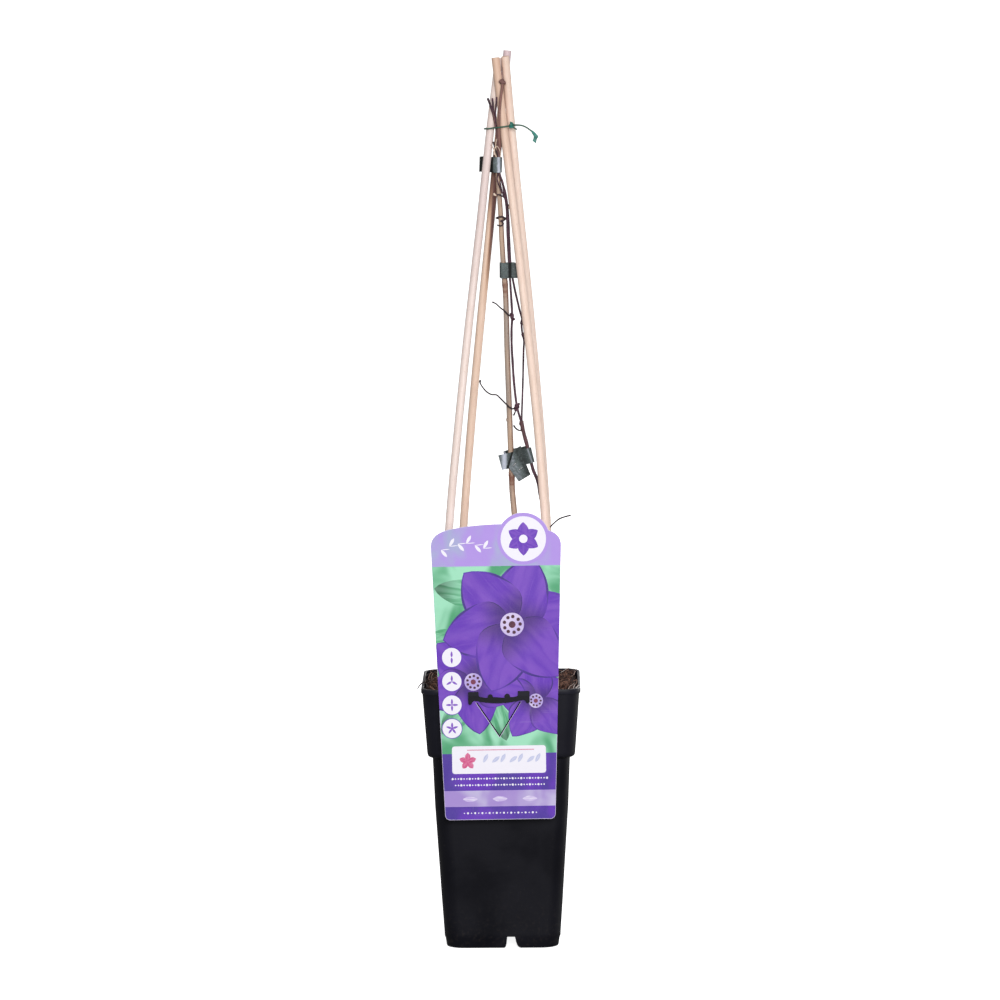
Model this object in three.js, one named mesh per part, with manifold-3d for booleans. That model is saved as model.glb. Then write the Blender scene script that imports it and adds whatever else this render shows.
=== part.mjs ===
// A young clematis in a deep square nursery pot, as sold in winter: bare stems tied to a thin
// bamboo stake between four pale canes, with a card label clipped to the rim.
// Millimetres, +Z up, the label to the front (-Y). The origin is on the ground under the pot.
import * as THREE from 'three';
import { mergeVertices } from 'three/addons/utils/BufferGeometryUtils.js';
import Module from 'manifold-3d';

const wasm = await Module();
wasm.setup();

// Pot
const RIM_HEIGHT = 214;
const RIM_HALF = 64.3;
const COLLAR_HALF = 63.4;
const COLLAR_FOOT = 157;
const COLLAR_FOOT_HALF = 59.9;
const BODY_HALF = 55.6;
const FOOT_HALF = 45.6;
const WALL = 1.4;
const FLOOR_UNDER = 9.8;
const FLOOR_TOP = 11.6;
const CORNER_AT_BASE = 0.3;
const CORNER_AT_RIM = 0.21;
const CORNER_POINTS = 5;
const NOTCH = { offset: 6.7, height: 9.5, top: 3.1, left: 5.9, right: 8.3 };
const DRAIN_RADIUS = 4;
const DRAIN_PLACE = 27;

// Soil
const GAP = 0.35;
const SOIL_EDGE = 209.3;
const SOIL_BUMP = 0.9;
const FIBRES = 56;
const FIBRE_RADIUS = 0.45;
const FIBRE_SINK = 2.2;

// Canes and stake
const CANE_RADIUS = 3.5;
const CANE_TIP = 0.93;
const CANE_FOOT = 118;
const HOLE_SIDES = 12;
const HOLE_TOP = 235;
const HOLE_PLAY = 0.8;
const STAKE_RADIUS = 2.85;
const STAKE_TIP = 0.66;
const STAKE_NODES = [226, 381, 536];
const STAKE_FOOT = 60;

// Clematis
const TRUNK_RADIUS = 1.8;
const STEM_RADIUS = 0.95;
const SIDE_STEM_RADIUS = 0.75;
const TWIG_RADIUS = 0.55;
const CURL_RADIUS = 0.55;
const SPUR_RADIUS = 0.6;
const TRUNK_FOOT = 150;

// Tying tape and wire
const TAPE_HEIGHT = 12.4;
const TAPE = 0.6;
const WIRE_RADIUS = 0.65;

// Label and clip
const LABEL = { foot: 109.2, footHalf: 44.3, shoulder: 222, shoulderHalf: 52.3, corner: 4.5 };
const LABEL_LEAN = THREE.MathUtils.degToRad(0.57);
const LABEL_THICK = 0.6;
const LABEL_FACE = -67.5;
const HEAD = { across: 22.1, up: 227, radius: 21.2 };
const CLIP_FACE = -69.4;
const CLIP_THICK = 1.5;
const HOOK_WIDTH = 5;

const plastic = (color) => new THREE.MeshStandardMaterial({ color, roughness: 0.5, metalness: 0 });
const rough = (color) => new THREE.MeshStandardMaterial({ color, roughness: 0.85, metalness: 0 });

const materials = {
  pot: plastic(0x1c1c22),
  soil: rough(0x4a332b),
  cane: new THREE.MeshStandardMaterial({ color: 0xecd3be, roughness: 0.6, metalness: 0 }),
  stake: rough(0xae9478),
  vine: rough(0x54343c),
  tape: plastic(0x56635f),
  wire: plastic(0x22705a),
  label: new THREE.MeshStandardMaterial({ color: 0x7656b4, roughness: 0.35, metalness: 0 }),
  clip: plastic(0x19181c),
};

const vec = ([x, y, z]) => new THREE.Vector3(x, y, z);

// Solids from closed geometry, and back
function solid(geometry) {
  const bare = geometry.clone();
  bare.deleteAttribute('normal');
  bare.deleteAttribute('uv');
  const merged = mergeVertices(bare, 1e-3);
  const place = merged.getAttribute('position');
  const faces = [];
  let volume = 0;
  for (let i = 0; i < merged.index.count; i += 3) {
    const [a, b, c] = [0, 1, 2].map((k) => merged.index.getX(i + k));
    if (a === b || b === c || c === a) continue;
    faces.push([a, b, c]);
    const [p, q, r] = [a, b, c].map((k) => new THREE.Vector3().fromBufferAttribute(place, k));
    volume += p.dot(q.cross(r));
  }
  const triVerts = faces.flatMap(([a, b, c]) => (volume > 0 ? [a, b, c] : [a, c, b]));
  return new wasm.Manifold(new wasm.Mesh({
    numProp: 3,
    vertProperties: new Float32Array(place.array),
    triVerts: new Uint32Array(triVerts),
  }));
}

function fuse(...parts) {
  return parts.flat().reduce((whole, part) => whole.add(part));
}

function largest(body) {
  return body.decompose().sort((a, b) => b.volume() - a.volume())[0];
}

function node(name, body, material) {
  const { vertProperties, triVerts } = largest(body).getMesh();
  const geometry = new THREE.BufferGeometry();
  geometry.setAttribute('position', new THREE.BufferAttribute(new Float32Array(vertProperties), 3));
  geometry.setIndex(new THREE.BufferAttribute(new Uint32Array(triVerts), 1));
  geometry.computeVertexNormals();
  const mesh = new THREE.Mesh(geometry, material);
  mesh.name = name;
  return mesh;
}

// A turned form whose round sections are drawn out into squares with rounded corners
function squareTurned(profile, lift = () => 0) {
  const segments = 4 * CORNER_POINTS;
  const geometry = new THREE.LatheGeometry(profile.map(([r, z]) => new THREE.Vector2(r, z)), segments);
  const place = geometry.getAttribute('position');
  for (let k = 0; k < place.count; k += 1) {
    const [half, height] = profile[k % profile.length];
    const step = Math.floor(k / profile.length) % segments;
    const quarter = Math.floor(step / CORNER_POINTS);
    const turn = quarter + (step % CORNER_POINTS) / (CORNER_POINTS - 1);
    const share = THREE.MathUtils.lerp(CORNER_AT_BASE, CORNER_AT_RIM, height / RIM_HEIGHT);
    const corner = half * share;
    const signX = quarter === 0 || quarter === 3 ? 1 : -1;
    const signY = quarter < 2 ? 1 : -1;
    const angle = turn * Math.PI / 2;
    const x = signX * (half - corner) + corner * Math.cos(angle);
    const y = signY * (half - corner) + corner * Math.sin(angle);
    place.setXYZ(k, x, y, height + lift(x, y, height));
  }
  return solid(geometry);
}

// A round rod along a smooth curve. Form scales its radius from start (0) to end (1).
function rod(points, radius, { sides = 6, step = 8, form = () => 1 } = {}) {
  const path = new THREE.CatmullRomCurve3(points.map(vec), false, 'centripetal');
  const steps = Math.max(3, Math.round(path.getLength() / step));
  const section = new THREE.Shape(Array.from({ length: sides }, (_, k) => {
    const angle = 2 * Math.PI * k / sides;
    return new THREE.Vector2(radius * Math.cos(angle), radius * Math.sin(angle));
  }));
  const geometry = new THREE.ExtrudeGeometry(section, { steps, extrudePath: path });
  const centres = path.getSpacedPoints(steps);
  const place = geometry.getAttribute('position');
  const here = new THREE.Vector3();
  for (let k = 0; k < place.count; k += 1) {
    here.fromBufferAttribute(place, k);
    const ring = centres.reduce((best, centre, i) => (
      centre.distanceToSquared(here) < centres[best].distanceToSquared(here) ? i : best), 0);
    here.sub(centres[ring]).multiplyScalar(form(ring / steps, centres[ring])).add(centres[ring]);
    place.setXYZ(k, here.x, here.y, here.z);
  }
  return solid(geometry);
}

function bead(place, radius, stretch = 1) {
  const geometry = new THREE.IcosahedronGeometry(radius, 1);
  geometry.scale(1, 1, stretch).translate(...place);
  return solid(geometry);
}

function post([x, y], radius, from, to, sides = HOLE_SIDES) {
  const geometry = new THREE.CylinderGeometry(radius, radius, to - from, sides);
  geometry.rotateX(Math.PI / 2).translate(x, y, (from + to) / 2);
  return solid(geometry);
}

// A plate from an outline seen from the front, between two depths
function plate(shape, front, back) {
  const geometry = new THREE.ExtrudeGeometry(shape, { depth: back - front, bevelEnabled: false });
  geometry.rotateX(Math.PI / 2).translate(0, back, 0);
  return geometry;
}

// A standing strip of tape along a curve seen from above
function strip(points, foot, height = TAPE_HEIGHT) {
  const path = new THREE.SplineCurve(points.map(([x, y]) => new THREE.Vector2(x, y)));
  const count = points.length * 3;
  const left = [];
  const right = [];
  for (let k = 0; k <= count; k += 1) {
    const at = path.getPoint(k / count);
    const along = path.getTangent(k / count);
    const side = new THREE.Vector2(-along.y, along.x).multiplyScalar(TAPE / 2);
    left.push(at.clone().add(side));
    right.push(at.clone().sub(side));
  }
  const shape = new THREE.Shape([...left, ...right.reverse()]);
  const geometry = new THREE.ExtrudeGeometry(shape, { depth: height, bevelEnabled: false });
  geometry.translate(0, 0, foot);
  return solid(geometry);
}

function turned(body, [x, y, z], angle) {
  const degrees = THREE.MathUtils.radToDeg(angle);
  return body.translate([-x, -y, -z]).rotate([0, degrees, 0]).translate([x, y, z]);
}

function seededDraw(seed) {
  let state = seed;
  return (low, high) => {
    state = (state * 1664525 + 1013904223) % 4294967296;
    return low + (high - low) * state / 4294967296;
  };
}

// Pot: one moulded shell with lip, collar, body, floor and four notches in its foot
function notchCutter() {
  const { height, top, left, right } = NOTCH;
  const shape = new THREE.Shape();
  shape.moveTo(-left, -1);
  shape.lineTo(-left, 0);
  shape.quadraticCurveTo(-top - 1, 0.4, -top - 0.5, 3.6);
  shape.lineTo(-top, height);
  shape.lineTo(top, height);
  shape.lineTo(top + 1.2, 4.3);
  shape.quadraticCurveTo(top + 2, 0.6, right, 0);
  shape.lineTo(right, -1);
  const cut = { depth: 20, bevelEnabled: false, curveSegments: 4 };
  const geometry = new THREE.ExtrudeGeometry(shape, cut);
  return geometry.rotateX(Math.PI / 2).translate(NOTCH.offset, -FOOT_HALF + 12, 0);
}

function makePot() {
  const inner = (half) => half - WALL;
  const profile = [
    [0, FLOOR_UNDER], [FOOT_HALF - 3, FLOOR_UNDER], [FOOT_HALF - 3.4, 0],
    [FOOT_HALF - 1, 0], [FOOT_HALF, 1.4], [FOOT_HALF + 0.7, 6.5], [FOOT_HALF + 1.5, 8.5],
    [49.1, 38.5], [51.1, 71], [54, 117], [BODY_HALF, COLLAR_FOOT - 0.4],
    [58.2, COLLAR_FOOT + 0.4], [59.5, COLLAR_FOOT + 2], [COLLAR_FOOT_HALF, COLLAR_FOOT + 4.5],
    [COLLAR_HALF, RIM_HEIGHT - 4.4], [RIM_HALF, RIM_HEIGHT - 3.8], [RIM_HALF, RIM_HEIGHT - 0.9],
    [RIM_HALF - 0.6, RIM_HEIGHT], [RIM_HALF - 1.7, RIM_HEIGHT], [RIM_HALF - 2.2, RIM_HEIGHT - 0.8],
    [inner(COLLAR_HALF), RIM_HEIGHT - 5], [inner(COLLAR_FOOT_HALF), COLLAR_FOOT + 4.9],
    [inner(58.4), COLLAR_FOOT + 2.6], [inner(BODY_HALF), COLLAR_FOOT + 0.8],
    [inner(54), 117], [inner(51.1), 71], [inner(49.1), 38.5], [inner(47.4), FLOOR_TOP + 1.5],
    [inner(46), FLOOR_TOP], [0, FLOOR_TOP],
  ];
  let pot = squareTurned(profile);
  for (let side = 0; side < 4; side += 1) {
    const notch = solid(notchCutter());
    pot = pot.subtract(notch.rotate([0, 0, 90 * side]));
    const drain = post([DRAIN_PLACE, 0], DRAIN_RADIUS, 5, FLOOR_TOP + 5, 8);
    pot = pot.subtract(drain.rotate([0, 0, 90 * side + 45]));
  }
  return pot.subtract(post([0, 0], DRAIN_RADIUS, 5, FLOOR_TOP + 5, 8));
}

// Canes: four from the corners of the pot, bending in to the tie and crossing above it
const CANE_LEVELS = [CANE_FOOT, 207, 280, 350, 430, 510, 590, 661];
const canes = {
  cane_front_left: {
    x: [-45.7, -45.7, -44.3, -40.2, -32.3, -23.4, -13.8, -5.8],
    y: [-44, -44, -42, -37.2, -28.9, -19, -9.6, -2.5],
    top: [1.2, 4.2, 719],
  },
  cane_front_right: {
    x: [43.5, 43.5, 41.4, 36.6, 30.4, 22.3, 13.5, 5.4],
    y: [-44, -44, -42, -37.8, -28.8, -20.4, -12, -5.2],
    top: [-1.2, -4.6, 719.5],
  },
  cane_back_left: {
    x: [-36.2, -36.2, -34, -29.3, -22.4, -14.4, -5.9, 1.6],
    y: [45, 45, 42.5, 36.4, 28.2, 20.1, 11.9, 5],
    top: [8.5, 5.4, 725],
  },
  cane_back_right: {
    x: [42.8, 42.8, 41, 37.4, 32.1, 25.5, 18, 11.5],
    y: [45, 45, 42.5, 37.2, 28.2, 18.5, 9.4, 1.2],
    top: [6.7, -3, 720.5],
  },
};

function makeCane({ x, y, top }) {
  const points = [...CANE_LEVELS.map((z, k) => [x[k], y[k], z]), top];
  const form = (t) => THREE.MathUtils.lerp(1, CANE_TIP, t);
  return rod(points, CANE_RADIUS, { sides: 10, step: 30, form });
}

// Stake: thin bamboo, bent at its middle node
const stakePoints = [
  [12, -9, STAKE_FOOT], [12, -9, 207], [12.1, -8.5, 300], [12, -8, 345], [11.1, -8, 357],
  [10, -7.5, 370], [9.8, -7.5, 381], [8.6, -6.5, 418], [7.6, -5.5, 451], [6.7, -5, 483],
  [5.6, -4.2, 532], [4.1, -3.4, 552], [2.9, -2.7, 574], [2.4, -2.5, 588], [1.5, -2.1, 604],
  [0.3, -1.8, 622], [-0.4, -1.4, 655],
];

function makeStake() {
  const form = (t, { z }) => {
    const swell = STAKE_NODES.reduce((sum, at) => sum + Math.exp(-(((z - at) / 4) ** 2)), 0);
    return THREE.MathUtils.lerp(1, STAKE_TIP, t) * (1 + 0.13 * swell);
  };
  const bud = bead([5.3, -6.2, 427], 1.2, 1.3);
  return fuse(rod(stakePoints, STAKE_RADIUS, { sides: 8, step: 6.5, form }), bud);
}

// Clematis: a trunk behind the front right cane, two long stems, cut tips, twigs and curls
const TRUNK_BASE = [27, 0];
const trunk = [
  [...TRUNK_BASE, TRUNK_FOOT], [...TRUNK_BASE, 207], [30, -4, 250], [36, -12, 300], [37.6, -18, 325],
  [36.5, -20.5, 342], [34.5, -20.5, 355], [32.6, -18, 366.6], [30.4, -15, 378.5],
  [27.2, -13, 386.4], [25.1, -12, 394.5], [22.3, -11, 406.6], [19.9, -10, 415.5], [17.7, -9.5, 426],
];
const longStem = [
  [18.4, -9.6, 423], [14.6, -9, 436.6], [13.1, -9, 447], [11.7, -8.5, 462.5], [11, -8, 475.5],
  [10.5, -8, 484], [10.4, -7.5, 500], [11, -7, 510], [10.8, -7, 516], [9.4, -6.6, 541],
  [8.6, -6.5, 555], [7.9, -6.4, 568.5], [7.6, -6.1, 580.6], [7.4, -6, 592], [6.5, -5.8, 603],
  [5, -5.4, 613], [3.8, -5.2, 619], [1, -5.1, 627], [0.6, -5.3, 634], [0.4, -5, 646], [-0.7, -4.7, 661], [-3.2, -6.2, 674],
  [-5.4, -5.6, 681], [-7.7, -5.2, 687],
];
const sideStem = [
  [18.4, -9.5, 419], [18.2, -9, 430], [18.7, -8.5, 443], [19.3, -8, 459], [20, -7, 483.5],
  [20.3, -7, 491], [19, -7, 497.5], [18.5, -6.5, 504], [18.9, -6.5, 508], [16.7, -6, 517],
  [13.1, -5.6, 533], [11.6, -5.4, 541], [10.1, -5.3, 549], [9.6, -5.2, 558], [9, -5, 575],
  [8.6, -4.9, 590], [7.6, -4.9, 602], [6.1, -4.7, 611], [4.2, -4.5, 618], [1.5, -4.6, 626.5],
  [1.5, -4.8, 634], [1.8, -5.4, 646], [1.1, -7.5, 661],
  [1.6, -9.2, 673], [2.7, -9.7, 685.5], [4.2, -9, 696], [4.5, -8.7, 702.3],
];
const twigs = [
  [[-5, -10, 522.7], [-2.4, -9.5, 521.5], [1.2, -9, 518.2], [4.8, -8.6, 515.3], [8.1, -8, 512],
    [11, -7, 510.5]],
  [[-14.9, -16, 460], [-15.4, -16, 458.4], [-13.4, -15, 454.3], [-9.8, -14, 450.1], [-6.2, -13, 448],
    [-2.1, -12, 447.5], [0.7, -11.5, 445], [4.7, -11, 440.9], [8.7, -10.2, 437.1],
    [11.1, -9.8, 436], [14.2, -9, 437.8]],
  [[14.4, -9, 436], [12.9, -9, 433.4], [12, -7.4, 431.2], [11.7, -4.8, 430.6]],
  [[18.1, -9.4, 418.3], [15.8, -9.2, 418.4], [13.4, -8.5, 419.9], [11.7, -6, 422]],
  [[36.8, -19.5, 336], [41.5, -21, 341.7], [45.4, -22, 345.5], [48.6, -23, 347.8],
    [53.5, -24, 349.6], [57.3, -25, 350.6]],
];
const curls = [
  [[7.4, -6.1, 590.4], [6, -6.6, 590.3], [4.1, -6.6, 591.3], [1.1, -6.2, 591.3], [-1, -4.2, 590.6],
    [-1.3, -1.6, 590], [0.6, 1, 589.6], [4, 1, 589.4], [5.9, -1.6, 589.2], [5.6, -4.6, 588.9],
    [4.1, -6.4, 588.2], [2, -6.8, 588.3], [3.6, -7.1, 587.2], [4.4, -6.9, 585.6],
    [2.1, -6.6, 584.1], [-0.9, -6.2, 584.7]],
  [[6, -5.8, 606], [3.4, -6.6, 608.2], [0.3, -6.8, 609.4], [-1.4, -6.6, 608.6], [-2.7, -6.2, 609.4]],
  [[0.6, -5.2, 639], [-0.6, -6, 643], [-2.5, -6.7, 648], [-3.3, -6.9, 652]],
];
const spurs = [
  [[-2.2, -5.7, 671], [-3.2, -5.9, 677], [-3.4, -6.1, 682], [-3.9, -6.1, 687]],
  [[-0.9, -5, 663], [-1.2, -6.6, 670], [-1.4, -8, 676], [-0.6, -8.9, 683], [-0.4, -9.1, 688]],
];
const swellings = [
  [[11.1, -7, 510.5], 1.8, 1.3], [[14.2, -9, 438], 2.1, 1.2], [[13.4, -9.3, 435.2], 1.4, 1],
  [[18.2, -9.5, 421], 1.6, 1.6], [[18.7, -6.6, 506], 1.3, 1.8], [[19.5, -7, 496], 1.2, 1.6],
  [[4.2, -9.2, 700.4], 2, 1.25], [[8.8, -5.2, 599.5], 1.2, 1.4], [[36.6, -19.6, 337], 1.8, 1.4],
];

function makeVine() {
  const { lerp, smoothstep } = THREE.MathUtils;
  const trunkForm = (t) => lerp(1, 0.7, Math.min(1, t * 2)) + 0.2 * smoothstep(t, 0.86, 0.97);
  const cutStemForm = (t) => 1 + 0.55 * smoothstep(t, 0.7, 0.86);
  const shoot = (points, radius) => rod(points, radius, { sides: 5, step: 3, form: (t) => 1 + 0.2 * t });
  return fuse(
    rod(trunk, TRUNK_RADIUS, { form: trunkForm }),
    rod(longStem, STEM_RADIUS, { step: 7.5 }),
    rod(sideStem, SIDE_STEM_RADIUS, { step: 7.5, form: cutStemForm }),
    twigs.map((points) => shoot(points, TWIG_RADIUS)),
    curls.map((points) => shoot(points, CURL_RADIUS)),
    spurs.map((points) => shoot(points, SPUR_RADIUS)),
    swellings.map(([place, radius, stretch]) => bead(place, radius, stretch)),
  );
}

// Soil: fills the pot, with a lumpy top, loose fibres and plain holes for all that stands in it
function soilTop(x, y) {
  const wave = Math.sin(0.23 * x + 1.3) * Math.cos(0.19 * y) + 0.7 * Math.sin(0.41 * y - 0.33 * x);
  return SOIL_BUMP * wave;
}

function makeFibre(draw) {
  const side = draw(0, 1) < 0.6 ? Math.sign(draw(-1, 1)) : 0;
  const x = side === 0 ? draw(-50, 50) : side * draw(34, 56);
  const y = draw(-54, 54);
  const heading = draw(0, 2 * Math.PI);
  const reach = draw(5, 12);
  const bend = draw(-1.2, 1.2);
  const rise = draw(1.5, 4.5);
  const keepIn = (v) => THREE.MathUtils.clamp(v, -60, 60);
  const base = SOIL_EDGE + 2 + soilTop(x, y);
  const points = [0, 0.33, 0.66, 1].map((t) => [
    keepIn(x + reach * t * Math.cos(heading + bend * t)),
    keepIn(y + reach * t * Math.sin(heading + bend * t)),
    base - FIBRE_SINK + (rise + FIBRE_SINK) * Math.sin(Math.PI * Math.min(1, 0.75 * t)),
  ]);
  return rod(points, FIBRE_RADIUS, { sides: 3, step: 2.6, form: (t) => 1 - 0.35 * t });
}

function makeSoil() {
  const fit = (half) => half - WALL - GAP;
  const profile = [
    [0, FLOOR_TOP + GAP], [fit(46), FLOOR_TOP + GAP], [fit(47.4), FLOOR_TOP + 1.8],
    [fit(49.1), 38.5], [fit(51.1), 71], [fit(54), 117], [fit(BODY_HALF), COLLAR_FOOT + 1.2],
    [fit(58), COLLAR_FOOT + 3.2], [fit(COLLAR_FOOT_HALF), COLLAR_FOOT + 5.4], [fit(63), SOIL_EDGE],
    [56, SOIL_EDGE + 1.4], [45, SOIL_EDGE + 1.9], [31, SOIL_EDGE + 2.1], [17, SOIL_EDGE + 2],
    [0, SOIL_EDGE + 2.2],
  ];
  const lift = (x, y, height) => (height > SOIL_EDGE ? soilTop(x, y) : 0);
  const draw = seededDraw(71);
  const fibres = Array.from({ length: FIBRES }, () => makeFibre(draw));
  const hole = (place, radius, foot) => post(place, radius + HOLE_PLAY, foot - GAP, HOLE_TOP);
  const holes = [
    ...Object.values(canes).map(({ x, y }) => hole([x[0], y[0]], CANE_RADIUS, CANE_FOOT)),
    hole(stakePoints[0], STAKE_RADIUS, STAKE_FOOT),
    hole(TRUNK_BASE, TRUNK_RADIUS, TRUNK_FOOT),
  ];
  return fuse(squareTurned(profile, lift), fibres).subtract(fuse(holes));
}

// Tape ties: each a loop round the stake and the stems, with two ends that stand off
function makeTopTie() {
  const loop = [[-4.3, -5.6], [-2.4, -6.9], [0.8, -7.2], [2.8, -6.5], [3.4, -4.8], [3.2, -2.2],
    [2.2, 0.4], [0.2, 1.2], [-4, 0.9], [-9.5, 0.7], [-14.8, -0.3]];
  const inside = [[-4.3, -5.6], [-4.4, -3], [-4.4, 0.9]];
  const body = fuse(strip(loop, 627), strip(inside, 627));
  return turned(body, [0, 0, 633], THREE.MathUtils.degToRad(2));
}

function makeMiddleTie() {
  const left = [[2.3, -9.9], [5, -9.9], [8.2, -9.4], [9.4, -8.8], [11.8, -8], [13.5, -5.7],
    [12.2, -3.6], [9.5, -1.8], [5.8, -0.1], [2.8, -0.6]];
  const right = [[2.8, -0.6], [1.3, -2.4], [1.4, -4.8], [3.6, -6.9], [6.8, -8], [9.4, -8.8],
    [12, -9.6], [15.4, -9.4]];
  return fuse(strip(left, 541.8), strip(right, 541.8));
}

function makeBottomTie() {
  const left = [[-0.2, -10.6], [4, -11.2], [9, -11.8], [14, -12.2], [19.4, -13], [24, -14.6],
    [27, -12.6], [25.8, -9.3]];
  const right = [[25.8, -9.3], [21, -7.3], [15, -4.6], [9.8, -3.2], [5.4, -4.6], [4.6, -8.2],
    [5.8, -11.5]];
  const loop = fuse(strip(left, 389), strip(right, 390.6));
  const tail = new THREE.Shape([[11.7, 403.1], [7.5, 388.6], [15.4, 376.9], [25.1, 382.7],
    [20.6, 393.6], [17.2, 406.2]].map(([x, z]) => new THREE.Vector2(x, z)));
  const hanging = solid(plate(tail, -13.2, -12.4));
  return fuse(turned(loop, [12, 0, 396.2], THREE.MathUtils.degToRad(-14)), hanging);
}

// Twist tie: one turn of coated wire round the canes, a knot, a stub and a loose end
function makeTwistTie() {
  const ring = [[11.6, -8, 665], [9.4, -9.8, 664.6], [5.4, -10.3, 664], [1.2, -10.2, 663.5],
    [-3, -8.6, 663], [-7.8, -7.2, 662.4], [-10.5, -3.4, 662.2], [-9.6, 1.4, 662.4], [-3.6, 7, 663],
    [1.4, 9.8, 663.4], [6.6, 8.9, 664], [13.6, 5.6, 664.6], [16.2, 1.4, 665], [15.4, -4, 665.2],
    [11.6, -8, 665.6]];
  const stub = [[11.4, -9.4, 664.4], [13.5, -9.8, 663], [15.9, -10, 661.8]];
  const tail = [[11.4, -9.4, 665], [15.9, -10.6, 665.3], [19.1, -11, 665.1], [22.7, -11, 663.8],
    [26.3, -11, 661.6], [29, -11, 660], [31.6, -11, 656.6], [30.2, -11, 652.8]];
  const flatten = (t) => (t > 0.72 ? 1.7 : 1);
  return fuse(
    rod(ring, WIRE_RADIUS, { sides: 6, step: 2.6 }),
    rod(stub, WIRE_RADIUS, { sides: 6, step: 1.6 }),
    rod(tail, WIRE_RADIUS, { sides: 6, step: 1.9, form: flatten }),
    bead([11.2, -9.2, 664.8], 2, 1.35),
  );
}

// Label: a tapered card with a round head, two slots for the clip and a V-shaped cut
function labelOutline() {
  const { footHalf, shoulder, shoulderHalf, corner } = LABEL;
  const shape = new THREE.Shape();
  shape.moveTo(-footHalf + corner, 0);
  shape.lineTo(footHalf - corner, 0);
  shape.quadraticCurveTo(footHalf, 0, footHalf + 0.15, corner);
  shape.lineTo(shoulderHalf, shoulder);
  shape.quadraticCurveTo(shoulderHalf - 0.4, shoulder + 9, 41.8, 233.8);
  const start = Math.atan2(233.8 - HEAD.up, 41.8 - HEAD.across);
  const end = Math.atan2(239.2 - HEAD.up, 4.8 - HEAD.across);
  shape.absarc(HEAD.across, HEAD.up, HEAD.radius, start, end, false);
  shape.quadraticCurveTo(-18, 239, -35, 235.8);
  shape.quadraticCurveTo(-52, 232.9, -shoulderHalf, shoulder);
  shape.lineTo(-footHalf - 0.15, corner);
  shape.quadraticCurveTo(-footHalf, 0, -footHalf + corner, 0);
  return shape;
}

const SLOTS = [{ x: -20, z: 100.8 }, { x: 20.4, z: 100.8 }];

function makeLabel() {
  const shape = labelOutline();
  const cut = [[-18, 95], [0.5, 67.1], [18, 95.3], [17.2, 95.5], [0.5, 68.4], [-17.2, 95.2]];
  shape.holes.push(new THREE.Path(cut.map(([x, z]) => new THREE.Vector2(x, z))));
  const card = solid(placeOnLabel(plate(shape, 0, LABEL_THICK)));
  const slots = SLOTS.map(({ x, z }) => {
    const slot = new THREE.BoxGeometry(HOOK_WIDTH + 1, 4, 5).translate(x, 0, z);
    return solid(placeOnLabel(slot));
  });
  return card.subtract(fuse(slots)).translate([0, LABEL_FACE, 0]);
}

// From the label's own upright frame, with its foot at the origin, to the leaning one on the pot
function placeOnLabel(geometry) {
  return geometry.rotateY(-LABEL_LEAN).translate(-0.8, 0, LABEL.foot);
}

// Clip: a bar with two pegs in front of the label, and two hooks through it and over the rim
function makeClip() {
  const shape = new THREE.Shape();
  shape.moveTo(-24.3, 97.2);
  shape.lineTo(-24.3, 102.8);
  shape.quadraticCurveTo(-24.3, 104, -23.1, 104);
  shape.lineTo(-16, 104);
  shape.lineTo(-16, 100.2);
  shape.quadraticCurveTo(-11.6, 99.2, -8.2, 98.9);
  shape.absarc(-6.5, 100, 2, Math.PI * 1.1, -Math.PI * 0.1, true);
  shape.lineTo(5.2, 98.7);
  shape.absarc(7.1, 100, 2.2, Math.PI * 1.1, -Math.PI * 0.1, true);
  shape.quadraticCurveTo(12.2, 99.2, 15.8, 100.2);
  shape.lineTo(15.8, 104.2);
  shape.lineTo(23.9, 104.2);
  shape.quadraticCurveTo(25.1, 104.2, 25.1, 103);
  shape.lineTo(25.1, 96.8);
  shape.absarc(23.6, 95.8, 1.5, 0, Math.PI, true);
  shape.quadraticCurveTo(21.8, 98.4, 17.4, 96.8);
  shape.quadraticCurveTo(0.8, 92.8, -16.6, 96.6);
  shape.quadraticCurveTo(-21, 98.2, -21.3, 95.2);
  shape.absarc(-22.8, 95.2, 1.5, 0, Math.PI, true);
  shape.closePath();
  const bar = plate(shape, CLIP_FACE, CLIP_FACE + CLIP_THICK);
  const parts = [solid(placeOnLabel(bar))];
  const over = RIM_HEIGHT + GAP;
  const hook = new THREE.Shape([[CLIP_FACE + 0.5, 208.2], [-65, 208.2], [-65, over],
    [-RIM_HALF + 2.9, over], [-RIM_HALF + 2.9, 210.6], [-RIM_HALF + 4.2, 210.6],
    [-RIM_HALF + 4.2, over + 1.4], [-66.5, over + 1.4], [-66.5, 211.4], [CLIP_FACE + 0.5, 211.4]]
    .map(([y, z]) => new THREE.Vector2(y, z)));
  SLOTS.forEach(({ x }) => {
    const arm = new THREE.ExtrudeGeometry(hook, { depth: HOOK_WIDTH, bevelEnabled: false });
    arm.rotateY(Math.PI / 2).rotateX(Math.PI / 2);
    arm.translate(x - 1.8 - HOOK_WIDTH / 2, 0, 0);
    parts.push(solid(arm));
  });
  return fuse(parts);
}

const plant = new THREE.Group();
plant.add(node('pot', makePot(), materials.pot));
plant.add(node('soil', makeSoil(), materials.soil));
Object.entries(canes).forEach(([name, cane]) => plant.add(node(name, makeCane(cane), materials.cane)));
plant.add(node('stake', makeStake(), materials.stake));
plant.add(node('vine', makeVine(), materials.vine));
plant.add(node('tape_tie_top', makeTopTie(), materials.tape));
plant.add(node('tape_tie_middle', makeMiddleTie(), materials.tape));
plant.add(node('tape_tie_bottom', makeBottomTie(), materials.tape));
plant.add(node('twist_tie', makeTwistTie(), materials.wire));
plant.add(node('label', makeLabel(), materials.label));
plant.add(node('label_clip', makeClip(), materials.clip));

export default plant;
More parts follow.
